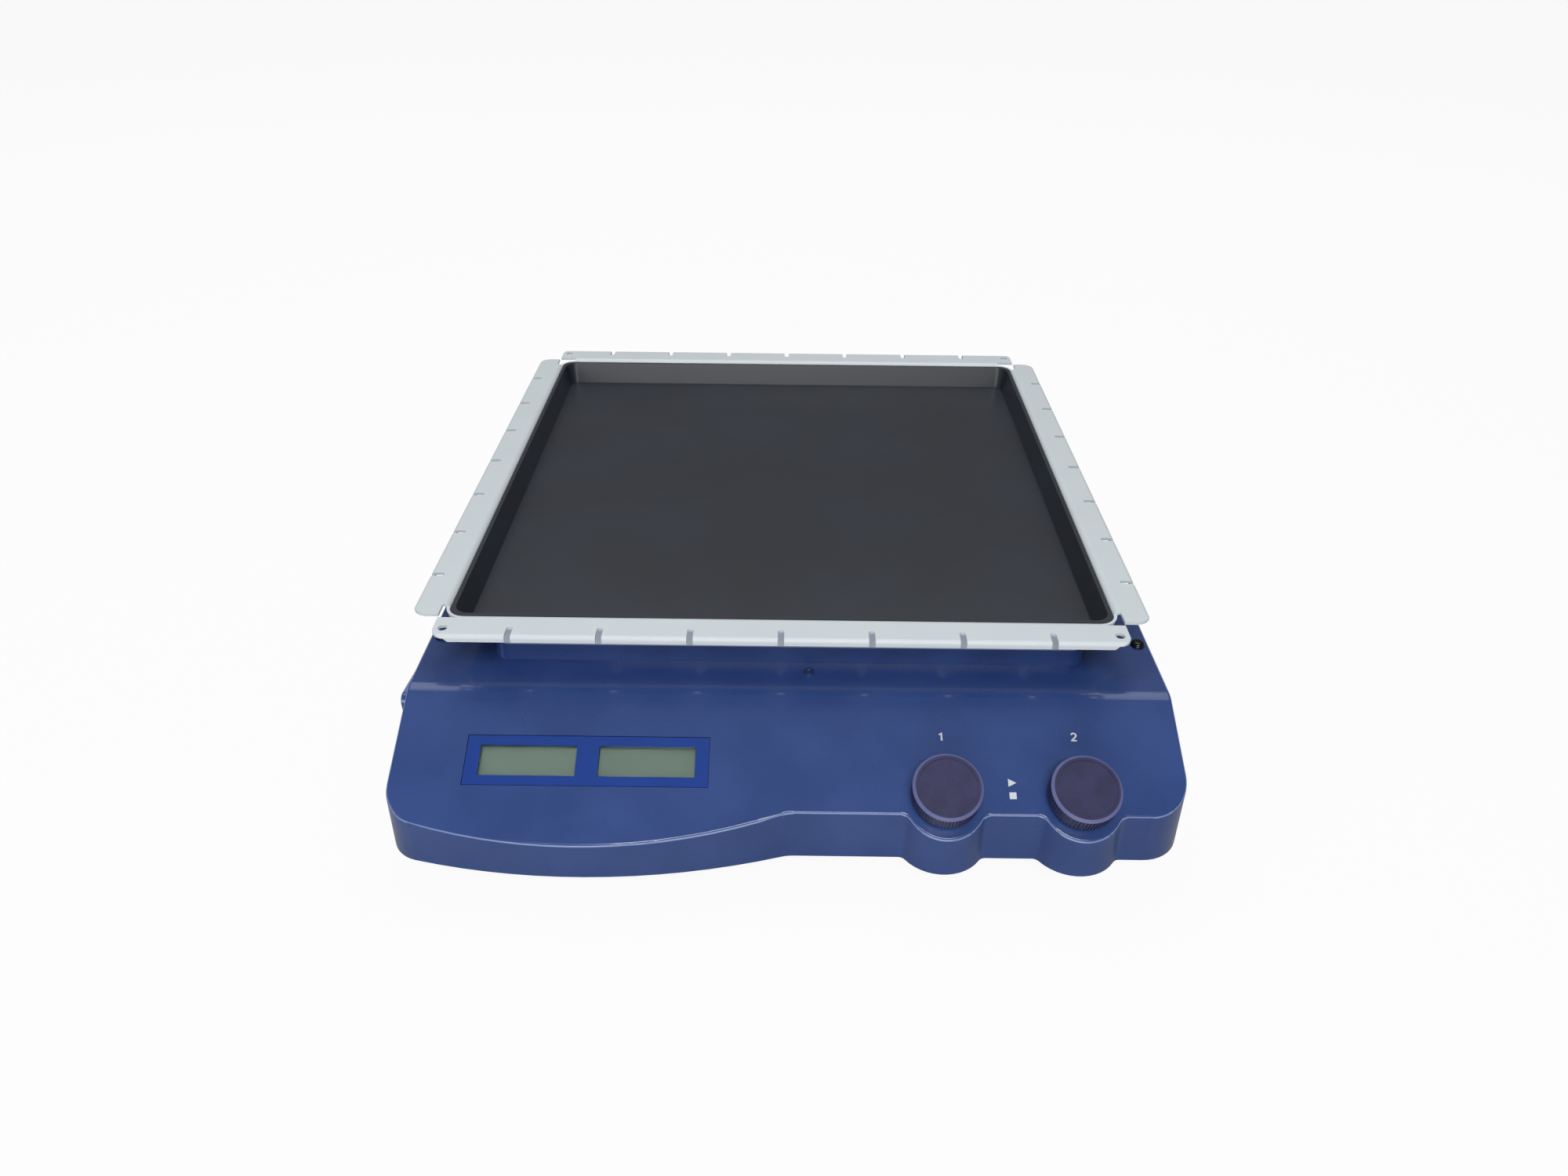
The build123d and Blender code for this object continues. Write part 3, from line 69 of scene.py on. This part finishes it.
def feed(tree, node, inputs):
    """Gives a node's sockets their values, or the output sockets that feed them."""
    for socket, value in inputs.items():
        if isinstance(value, bpy.types.NodeSocket):
            tree.links.new(value, node.inputs[socket])
        else:
            node.inputs[socket].default_value = value


def add_node(tree, kind, inputs=None, **settings):
    """Adds a node with its settings, and feeds its sockets."""
    added = tree.nodes.new(kind)
    for name, value in settings.items():
        setattr(added, name, value)
    feed(tree, added, inputs or {})
    return added


def add_lamp(name, place, target, size, watts):
    """Hangs a rectangular soft lamp at a place and turns it to a target."""
    lamp = bpy.data.objects.new(name, bpy.data.lights.new(name, "AREA"))
    lamp.data.shape = "RECTANGLE"
    lamp.data.size, lamp.data.size_y = size
    lamp.data.energy = watts
    lamp.location = place
    lamp.rotation_euler = (Vector(target) - Vector(place)).to_track_quat("-Z", "Y").to_euler()
    scene.collection.objects.link(lamp)


add_lamp("lamp_above", (-0.1, 0.65, 1.7), (-0.1, 0.3, 0), (2.0, 1.2), 14)
add_lamp("lamp_front", (-0.15, -2.2, 0.36), (0, 0, 0.06), (1.6, 0.6), 10)
add_lamp("lamp_edge", (0.1, -1.3, 1.35), (0, -0.1, 0.06), (0.9, 0.42), 13)
add_lamp("lamp_left", (-1.5, -0.7, 0.9), (0, 0, 0.05), (0.5, 0.5), 2.5)

# The surround is white to the camera and through clear plastic, and dim to everything else.
world = bpy.data.worlds.new("studio")
world.use_nodes = True
world.node_tree.nodes.clear()
path = add_node(world.node_tree, "ShaderNodeLightPath")
seen = add_node(world.node_tree, "ShaderNodeMath", {0: path.outputs["Is Camera Ray"],
                                                    1: path.outputs["Is Transmission Ray"]},
                operation="MAXIMUM")
strength = add_node(world.node_tree, "ShaderNodeMapRange", {"Value": seen.outputs[0], "To Min": 0.14,
                                                            "To Max": 1.0})
background = add_node(world.node_tree, "ShaderNodeBackground", {"Color": (1, 1, 1, 1),
                                                                "Strength": strength.outputs[0]})
add_node(world.node_tree, "ShaderNodeOutputWorld", {"Surface": background.outputs[0]})
scene.world = world

# The floor is matt, and it glows a little to the camera alone, so that it ends in white.
FLOOR_REACH = 6
floor_mesh = bmesh.new()
bmesh.ops.create_grid(floor_mesh, x_segments=1, y_segments=1, size=FLOOR_REACH)
floor = bpy.data.objects.new("floor", bpy.data.meshes.new("floor"))
floor_mesh.to_mesh(floor.data)
floor_mesh.free()
scene.collection.objects.link(floor)
paper = bpy.data.materials.new("white_paper")
paper.use_nodes = True
paper.node_tree.nodes.clear()
path = add_node(paper.node_tree, "ShaderNodeLightPath")
matt = add_node(paper.node_tree, "ShaderNodeBsdfDiffuse", {"Color": srgb("#BCBCBC")})
glow = add_node(paper.node_tree, "ShaderNodeEmission", {"Color": (1, 1, 1, 1), "Strength": 1.06})
share = add_node(paper.node_tree, "ShaderNodeMath", {0: path.outputs["Is Camera Ray"], 1: 0.88},
                 operation="MULTIPLY")
mixed = add_node(paper.node_tree, "ShaderNodeMixShader", {0: share.outputs[0], 1: matt.outputs[0],
                                                          2: glow.outputs[0]})
add_node(paper.node_tree, "ShaderNodeOutputMaterial", {"Surface": mixed.outputs[0]})
floor.data.materials.append(paper)


# Housing: one injection-moulded ABS cover and a side cover, satin blue with a fine spark-eroded
# grain that breaks up the highlights. The colour drifts a little over the large faces, and the
# small rounds along the edges carry a painted highlight, as the lamps alone don't show them enough.
MM = 0.001
MIX_SHARE, MIX_A, MIX_B, MIX_RESULT = 0, 6, 7, 2  # a Mix node's sockets for colours
SLOPE = math.radians(26.5)
PANEL_NORMAL = (0, -math.sin(SLOPE), math.cos(SLOPE))
BLACK, WHITE = (0, 0, 0, 1), (1, 1, 1, 1)


def new_material(name):
    """An empty material; returns it with its tree, its shader and its Object coordinates."""
    made = bpy.data.materials.new(name)
    made.use_nodes = True
    tree = made.node_tree
    tree.nodes.clear()
    shader = add_node(tree, "ShaderNodeBsdfPrincipled")
    add_node(tree, "ShaderNodeOutputMaterial", {"Surface": shader.outputs[0]})
    return made, tree, shader, add_node(tree, "ShaderNodeTexCoord").outputs["Object"]


def dress(material, *names):
    """Gives CAD nodes their material."""
    for name in names:
        nodes[name].data.materials.clear()
        nodes[name].data.materials.append(material)


def paint_edge_highlight(tree, plain, highlight_colour, low, high):
    """Mixes in a painted highlight colour where the cosine of a face's lean from the panel is in a
    range.
    """
    facing = add_node(tree, "ShaderNodeVectorMath",
                      {0: add_node(tree, "ShaderNodeNewGeometry").outputs["Normal"],
                       1: PANEL_NORMAL}, operation="DOT_PRODUCT")
    band = add_node(tree, "ShaderNodeValToRGB", {"Fac": facing.outputs["Value"]})
    band.color_ramp.interpolation = "CONSTANT"
    band.color_ramp.elements[0].color = BLACK
    band.color_ramp.elements[1].position = low
    band.color_ramp.elements[1].color = WHITE
    band.color_ramp.elements.new(high).color = BLACK
    mixed = add_node(tree, "ShaderNodeMix", {MIX_SHARE: band.outputs["Color"], MIX_A: plain,
                                             MIX_B: highlight_colour}, data_type="RGBA")
    return mixed.outputs[MIX_RESULT]


abs_blue, tree, shader, place = new_material("abs_blue_moulded")
drift = add_node(tree, "ShaderNodeTexNoise", {"Vector": place, "Scale": 1 / (35.7 * MM), "Detail": 3.0})
tone = add_node(tree, "ShaderNodeValToRGB", {"Fac": drift.outputs["Fac"]})
tone.color_ramp.elements[0].position = 0.35
tone.color_ramp.elements[0].color = srgb("#2C4783")
tone.color_ramp.elements[1].position = 0.68
tone.color_ramp.elements[1].color = srgb("#354F8D")
# Painted highlight: the edge rounds are mixed to a lighter blue by their lean from the panel.
blue = paint_edge_highlight(tree, tone.outputs["Color"], srgb("#7F95C8"), 0.62, 0.86)
grain = add_node(tree, "ShaderNodeTexNoise", {"Vector": place, "Scale": 1 / (1.2 * MM), "Detail": 2.0})
gloss = add_node(tree, "ShaderNodeMapRange", {"Value": grain.outputs["Fac"], "To Min": 0.24,
                                              "To Max": 0.36})
bump = add_node(tree, "ShaderNodeBump", {"Height": grain.outputs["Fac"], "Strength": 0.14,
                                         "Distance": 0.2 * MM})
feed(tree, shader, {"Base Color": blue, "Roughness": gloss.outputs[0], "Normal": bump.outputs[0],
                    "IOR": 1.5, "Coat Weight": 0.5, "Coat Roughness": 0.1})
dress(abs_blue, "top_cover", "side_cover")

# Corner plugs: four domes of black rubber, moulded in a polished cavity and pushed into the
# cover's corners. Their gloss varies a little, as a thin film of dust makes it.
rubber_gloss, tree, shader, place = new_material("rubber_gloss_black")
film = add_node(tree, "ShaderNodeTexNoise", {"Vector": place, "Scale": 1 / (2 * MM)})
gloss = add_node(tree, "ShaderNodeMapRange", {"Value": film.outputs["Fac"], "To Min": 0.1,
                                              "To Max": 0.22})
feed(tree, shader, {"Base Color": srgb("#0B0B0D"), "Roughness": gloss.outputs[0]})
dress(rubber_gloss, "corner_domes")

# Screws, nuts and standoffs: zinc-plated steel with a fine spangle. The spangle is drawn as
# coarse as it needs to show. The screw in front of the plateau is blued instead.
zinc, tree, shader, place = new_material("zinc_plated_steel")
spangle = add_node(tree, "ShaderNodeTexVoronoi", {"Vector": place, "Scale": 1 / (0.8 * MM)})
tone = add_node(tree, "ShaderNodeMix", {MIX_SHARE: spangle.outputs["Distance"],
                                        MIX_A: srgb("#9FA3AA"), MIX_B: srgb("#C2C6CC")},
                data_type="RGBA")
gloss = add_node(tree, "ShaderNodeMapRange", {"Value": spangle.outputs["Distance"], "To Min": 0.25,
                                              "To Max": 0.42})
feed(tree, shader, {"Base Color": tone.outputs[MIX_RESULT], "Roughness": gloss.outputs[0],
                    "Metallic": 1.0})
dress(zinc, "cover_screws", "base_screws", "foot_screws", "foot_nuts", "display_screws",
      "encoder_nuts", "weight_screws", "tray_screws", "motor_screws", "board_screws",
      "board_standoffs", "inlet_screws")

blued_steel, tree, shader, place = new_material("blued_screw_steel")
film = add_node(tree, "ShaderNodeTexNoise", {"Vector": place, "Scale": 1 / MM})
tone = add_node(tree, "ShaderNodeMix", {MIX_SHARE: film.outputs["Fac"], MIX_A: srgb("#4C5C88"),
                                        MIX_B: srgb("#6D7CA6")}, data_type="RGBA")
feed(tree, shader, {"Base Color": tone.outputs[MIX_RESULT], "Roughness": 0.35, "Metallic": 0.8})
dress(blued_steel, "cover_screw")

# Display bezel: a separate ABS moulding in a deeper blue, with two windows. It is smooth where
# the cover is grained, so its colour reads clearer.
bezel_blue, tree, shader, place = new_material("bezel_blue_smooth")
drift = add_node(tree, "ShaderNodeTexNoise", {"Vector": place, "Scale": 1 / (25 * MM)})
tone = add_node(tree, "ShaderNodeMix", {MIX_SHARE: drift.outputs["Fac"], MIX_A: srgb("#163C8C"),
                                        MIX_B: srgb("#1C449B")}, data_type="RGBA")
feed(tree, shader, {"Base Color": tone.outputs[MIX_RESULT], "Roughness": 0.3})
dress(bezel_blue, "display_bezel")

# Display window: a plate of clear cast acrylic, laid in behind the bezel.
# It is almost free of haze, so the glass behind it keeps its colour.
acrylic, tree, shader, place = new_material("acrylic_clear")
haze = add_node(tree, "ShaderNodeTexNoise", {"Vector": place, "Scale": 1 / (16.7 * MM)})
gloss = add_node(tree, "ShaderNodeMapRange", {"Value": haze.outputs["Fac"], "To Min": 0.0,
                                              "To Max": 0.05})
feed(tree, shader, {"Base Color": srgb("#F2F7F5"), "Roughness": gloss.outputs[0], "IOR": 1.49,
                    "Transmission Weight": 1.0})
dress(acrylic, "display_lens")

# Display glass: two reflective liquid crystal cells, switched off. The polariser over the
# reflector gives them an even grey-green that clouds slightly.
lcd_glass, tree, shader, place = new_material("lcd_polariser_green")
cloud = add_node(tree, "ShaderNodeTexNoise", {"Vector": place, "Scale": 1 / (29.4 * MM), "Detail": 1.0})
tone = add_node(tree, "ShaderNodeMix", {MIX_SHARE: cloud.outputs["Fac"], MIX_A: srgb("#64776C"),
                                        MIX_B: srgb("#728577")}, data_type="RGBA")
feed(tree, shader, {"Base Color": tone.outputs[MIX_RESULT], "Roughness": 0.25})
dress(lcd_glass, "lcd_modules")

# Circuit boards: glass-epoxy laminate under a green solder mask.
# The weave of the glass shows through as a faint check.
solder_mask, tree, shader, place = new_material("solder_mask_green")
weave = add_node(tree, "ShaderNodeTexChecker", {"Vector": place, "Scale": 1 / (1.2 * MM),
                                                "Color1": srgb("#0E4A2C"),
                                                "Color2": srgb("#115233")})
feed(tree, shader, {"Base Color": weave.outputs["Color"], "Roughness": 0.35})
dress(solder_mask, "display_board", "knob_board", "control_board")

# Knobs: violet-grey ABS, moulded with a ribbed skirt and a dished face, and pushed on the
# encoders' shafts. Their chamfer carries a painted highlight, found by its lean from the panel.
knob_abs, tree, shader, place = new_material("abs_violet_grey")
drift = add_node(tree, "ShaderNodeTexNoise", {"Vector": place, "Scale": 1 / (8.33 * MM), "Detail": 4.0})
tone = add_node(tree, "ShaderNodeValToRGB", {"Fac": drift.outputs["Fac"]})
tone.color_ramp.elements[0].position = 0.3
tone.color_ramp.elements[0].color = srgb("#2C2A4E")
tone.color_ramp.elements[1].position = 0.75
tone.color_ramp.elements[1].color = srgb("#363561")
# Painted highlight: the chamfer is mixed to a lighter violet by its lean from the panel.
violet = paint_edge_highlight(tree, tone.outputs["Color"], srgb("#6C71A4"), 0.5, 0.85)
grain = add_node(tree, "ShaderNodeTexNoise", {"Vector": place, "Scale": 1 / (0.6 * MM), "Detail": 2.0})
gloss = add_node(tree, "ShaderNodeMapRange", {"Value": grain.outputs["Fac"], "To Min": 0.36,
                                              "To Max": 0.52})
bump = add_node(tree, "ShaderNodeBump", {"Height": grain.outputs["Fac"], "Strength": 0.12,
                                         "Distance": 0.2 * MM})
feed(tree, shader, {"Base Color": violet, "Roughness": gloss.outputs[0], "Normal": bump.outputs[0],
                    "Coat Weight": 0.3, "Coat Roughness": 0.2})
dress(knob_abs, "speed_knob", "time_knob")

# Marks on the panel: plain white numerals above the knobs, and a start and a stop sign between
# them, each a film of printed ink. The turning arrows above the knobs are moulded in the cover.
CREASE_Y, TOP_FACE = -0.1453, 0.067  # where the sloping panel meets the flat top, in metres
FIRST_KNOB, SECOND_KNOB, KNOB_DOWN = 71.8, 134.0, 52.0
BETWEEN_KNOBS = (FIRST_KNOB + SECOND_KNOB) / 2
SUNK, INK_HEIGHT, ARROW_HEIGHT = 0.1, 0.1, 0.2
ARROW_RADIUS, ARROW_LINE, ARROW_HALF_WIDTH = 19.6, 0.35, 0.9


def on_panel(x, down, lift):
    """A place on the sloping panel, in millimetres across, down from its crease and above it."""
    return Vector((x * MM, CREASE_Y - (down * math.cos(SLOPE) + lift * math.sin(SLOPE)) * MM,
                   TOP_FACE - (down * math.sin(SLOPE) - lift * math.cos(SLOPE)) * MM))


def polar(radius, angle):
    """The point at a radius and an angle in degrees."""
    return (radius * math.cos(math.radians(angle)), radius * math.sin(math.radians(angle)))


def arc(radius, start, end, steps=14):
    """Points on a circle round the origin, between two angles in degrees."""
    return [polar(radius, start + (end - start) * step / steps) for step in range(steps + 1)]


def stroke(points, width):
    """The outline of a line of one width through the points."""
    left, right = [], []
    for index, point in enumerate(points):
        before, after = points[max(index - 1, 0)], points[min(index + 1, len(points) - 1)]
        run = math.hypot(after[0] - before[0], after[1] - before[1])
        side = ((before[1] - after[1]) / run * width / 2, (after[0] - before[0]) / run * width / 2)
        left.append((point[0] + side[0], point[1] + side[1]))
        right.append((point[0] - side[0], point[1] - side[1]))
    return right + left[::-1]


def lay_on_panel(name, x, down, shapes, height, material):
    """Raises flat shapes, given as outlines in millimetres, from the panel at x and down."""
    drawn = bmesh.new()
    for outline in shapes:
        base = drawn.faces.new([drawn.verts.new(on_panel(x + u, down - v, -SUNK)) for u, v in outline])
        raised = bmesh.ops.extrude_face_region(drawn, geom=[base])["geom"]
        corners = [part for part in raised if isinstance(part, bmesh.types.BMVert)]
        bmesh.ops.translate(drawn, verts=corners, vec=Vector(PANEL_NORMAL) * (SUNK + height) * MM)
    bmesh.ops.recalc_face_normals(drawn, faces=drawn.faces)
    piece = bpy.data.objects.new(name, bpy.data.meshes.new(name))
    drawn.to_mesh(piece.data)
    drawn.free()
    piece.data.materials.append(material)
    scene.collection.objects.link(piece)
    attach(piece, "housing")


ink, tree, shader, place = new_material("screen_print_white")
wear = add_node(tree, "ShaderNodeTexNoise", {"Vector": place, "Scale": 1 / (0.8 * MM)})
tone = add_node(tree, "ShaderNodeMix", {MIX_SHARE: wear.outputs["Fac"], MIX_A: srgb("#CDD4DC"),
                                        MIX_B: srgb("#EDF1F4")}, data_type="RGBA")
feed(tree, shader, {"Base Color": tone.outputs[MIX_RESULT], "Roughness": 0.55})

curl = [(u, v + 0.9) for u, v in arc(1.1, 165, -35)]
marks = {
    "numeral_1": (FIRST_KNOB, 23.0, [stroke([(0.1, -2.0), (0.1, 2.0)], 0.75),
                                     stroke([(0.1, 1.7), (-1.1, 0.9)], 0.6)]),
    "numeral_2": (SECOND_KNOB, 22.5, [stroke(curl + [(-1.15, -1.7)], 0.7),
                                      stroke([(-1.4, -1.7), (1.3, -1.7)], 0.7)]),
    "start_sign": (BETWEEN_KNOBS, 45.4, [[(-1.7, -1.9), (2.0, 0.0), (-1.7, 1.9)]]),
    "stop_sign": (BETWEEN_KNOBS, 51.6, [[(-1.6, -1.6), (1.6, -1.6), (1.6, 1.6), (-1.6, 1.6)]]),
}
for name, (x, down, shapes) in marks.items():
    lay_on_panel(name, x, down, shapes, INK_HEIGHT, ink)
arrows = []
for tail, neck, tip in ((100, 116, 121), (80, 64, 59)):
    arrows.append(stroke(arc(ARROW_RADIUS, tail, neck), ARROW_LINE))
    arrows.append([polar(ARROW_RADIUS - ARROW_HALF_WIDTH, neck),
                   polar(ARROW_RADIUS + ARROW_HALF_WIDTH, neck), polar(ARROW_RADIUS, tip)])
for name, x in (("speed_arrows", FIRST_KNOB), ("time_arrows", SECOND_KNOB)):
    lay_on_panel(name, x, KNOB_DOWN, arrows, ARROW_HEIGHT, abs_blue)

# Encoders, inlet and switch frame: moulded nylon, black for the bodies and white for the rotors.
# The shafts and cranks are turned steel, with the tool's lines drawn coarser than they are.
black_nylon, tree, shader, place = new_material("nylon_black")
grain = add_node(tree, "ShaderNodeTexNoise", {"Vector": place, "Scale": 1 / MM})
tone = add_node(tree, "ShaderNodeMix", {MIX_SHARE: grain.outputs["Fac"], MIX_A: srgb("#17181A"),
                                        MIX_B: srgb("#202124")}, data_type="RGBA")
feed(tree, shader, {"Base Color": tone.outputs[MIX_RESULT], "Roughness": 0.5})
dress(black_nylon, "encoder_bodies", "power_inlet", "switch_frame")

white_nylon, tree, shader, place = new_material("nylon_white")
grain = add_node(tree, "ShaderNodeTexNoise", {"Vector": place, "Scale": 1 / MM})
tone = add_node(tree, "ShaderNodeMix", {MIX_SHARE: grain.outputs["Fac"], MIX_A: srgb("#D8D6CE"),
                                        MIX_B: srgb("#E4E2DA")}, data_type="RGBA")
feed(tree, shader, {"Base Color": tone.outputs[MIX_RESULT]})
dress(white_nylon, "speed_rotor", "time_rotor")

turned_steel, tree, shader, place = new_material("turned_steel")
lines = add_node(tree, "ShaderNodeTexWave", {"Vector": place, "Scale": 1 / (0.6 * MM)},
                 bands_direction="Z")
tone = add_node(tree, "ShaderNodeMix", {MIX_SHARE: lines.outputs["Fac"], MIX_A: srgb("#A6A8AC"),
                                        MIX_B: srgb("#BFC1C4")}, data_type="RGBA")
feed(tree, shader, {"Base Color": tone.outputs[MIX_RESULT], "Roughness": 0.3, "Metallic": 1.0})
dress(turned_steel, "speed_shaft", "time_shaft", "drive_crank", "idler_crank_1", "idler_crank_2",
      "idler_crank_3", "idler_crank_4", "motor_rotor")

# Dish tray: one steel sheet, cut and folded, under a light grey powder coat.
# The coat has the faint orange peel of baked powder, which softens the highlights.
powder_grey, tree, shader, place = new_material("powder_coat_light_grey")
drift = add_node(tree, "ShaderNodeTexNoise", {"Vector": place, "Scale": 1 / (33.3 * MM)})
tone = add_node(tree, "ShaderNodeMix", {MIX_SHARE: drift.outputs["Fac"], MIX_A: srgb("#DCE5EA"),
                                        MIX_B: srgb("#E4ECF1")}, data_type="RGBA")
peel = add_node(tree, "ShaderNodeTexNoise", {"Vector": place, "Scale": 1 / (1.8 * MM), "Detail": 1.0})
bump = add_node(tree, "ShaderNodeBump", {"Height": peel.outputs["Fac"], "Strength": 0.08,
                                         "Distance": 0.2 * MM})
feed(tree, shader, {"Base Color": tone.outputs[MIX_RESULT], "Roughness": 0.38,
                    "Normal": bump.outputs[0]})
dress(powder_grey, "dish_tray")

# Mat: a shallow dish of black rubber, moulded with a fine grain and laid loose in the tray.
# Its black leans to blue under a dull bloom, and a soft sheen lies over it.
rubber_mat, tree, shader, place = new_material("rubber_moulded_black")
bloom = add_node(tree, "ShaderNodeTexNoise", {"Vector": place, "Scale": 1 / (71.4 * MM), "Detail": 4.0})
tone = add_node(tree, "ShaderNodeValToRGB", {"Fac": bloom.outputs["Fac"]})
tone.color_ramp.elements[0].position = 0.4
tone.color_ramp.elements[0].color = srgb("#161D29")
tone.color_ramp.elements[1].position = 0.8
tone.color_ramp.elements[1].color = srgb("#1F2939")
grain = add_node(tree, "ShaderNodeTexNoise", {"Vector": place, "Scale": 1 / MM, "Detail": 2.0})
bump = add_node(tree, "ShaderNodeBump", {"Height": grain.outputs["Fac"], "Strength": 0.1,
                                         "Distance": 0.2 * MM})
feed(tree, shader, {"Base Color": tone.outputs["Color"], "Roughness": 0.48,
                    "Normal": bump.outputs[0], "Coat Weight": 0.8, "Coat Roughness": 0.3})
dress(rubber_mat, "rubber_mat")

# Castings of the drive: aluminium, shot-blasted after casting, for the bearing housings and the
# carrier. The blasting leaves a fine mottle of pits.
cast_aluminium, tree, shader, place = new_material("cast_aluminium")
pits = add_node(tree, "ShaderNodeTexNoise", {"Vector": place, "Scale": 1 / (1.5 * MM), "Detail": 3.0})
tone = add_node(tree, "ShaderNodeMix", {MIX_SHARE: pits.outputs["Fac"], MIX_A: srgb("#A9ACB0"),
                                        MIX_B: srgb("#C3C6C9")}, data_type="RGBA")
feed(tree, shader, {"Base Color": tone.outputs[MIX_RESULT], "Roughness": 0.45, "Metallic": 1.0})
dress(cast_aluminium, "drive_housing", "idler_housings", "carrier")

# The rest of the works, each with its own finish: two tones, how coarse their mottle is in
# millimetres, roughness, how metallic, and the nodes that wear it.
GLOSS_SPREAD = 0.15
finishes = {
    "copper_windings": ("#7A5334", "#93693F", 0.9, 0.4, 0.7, ["motor_stator"]),
    "sawn_bar_steel": ("#5A5C60", "#6E7074", 1.2, 0.5, 1.0, ["counterweight"]),
    "ground_bearing_steel": ("#B4B6BA", "#C8CACE", 4.0, 0.14, 1.0,
                             ["drive_bearings", "idler_bearings", "carrier_bearings"]),
    "black_enamel": ("#17181B", "#202126", 3.0, 0.35, 0.0, ["motor_can"]),
    "galvanised_sheet": ("#9FA4A8", "#B7BBBE", 4.0, 0.38, 1.0, ["power_supply", "motor_bracket"]),
    "grey_powder_coat": ("#85888D", "#92959A", 2.0, 0.5, 0.0, ["base_plate"]),
    "foot_rubber_matt": ("#131314", "#1C1C1E", 1.0, 0.75, 0.0, ["rubber_feet"]),
    "belt_rubber_ribbed": ("#0F0F10", "#1A1A1B", 0.8, 0.6, 0.0, ["drive_belt"]),
    "rocker_gloss_black": ("#0D0D0F", "#141417", 4.0, 0.18, 0.0, ["switch_rocker"]),
    "machined_aluminium": ("#B5B8BC", "#C6C9CC", 0.7, 0.3, 1.0,
                           ["drive_pulley", "motor_pulley", "tray_posts"]),
}
for name, (dark, light, coarse, rough, metal, worn_by) in finishes.items():
    material, tree, shader, place = new_material(name)
    mottle = add_node(tree, "ShaderNodeTexNoise", {"Vector": place, "Scale": 1 / (coarse * MM),
                                                   "Detail": 3.0})
    tone = add_node(tree, "ShaderNodeMix", {MIX_SHARE: mottle.outputs["Fac"], MIX_A: srgb(dark),
                                            MIX_B: srgb(light)}, data_type="RGBA")
    gloss = add_node(tree, "ShaderNodeMapRange", {"Value": mottle.outputs["Fac"],
                                                  "To Min": (1 - GLOSS_SPREAD) * rough,
                                                  "To Max": (1 + GLOSS_SPREAD) * rough})
    feed(tree, shader, {"Base Color": tone.outputs[MIX_RESULT], "Roughness": gloss.outputs[0],
                        "Metallic": metal})
    dress(material, *worn_by)
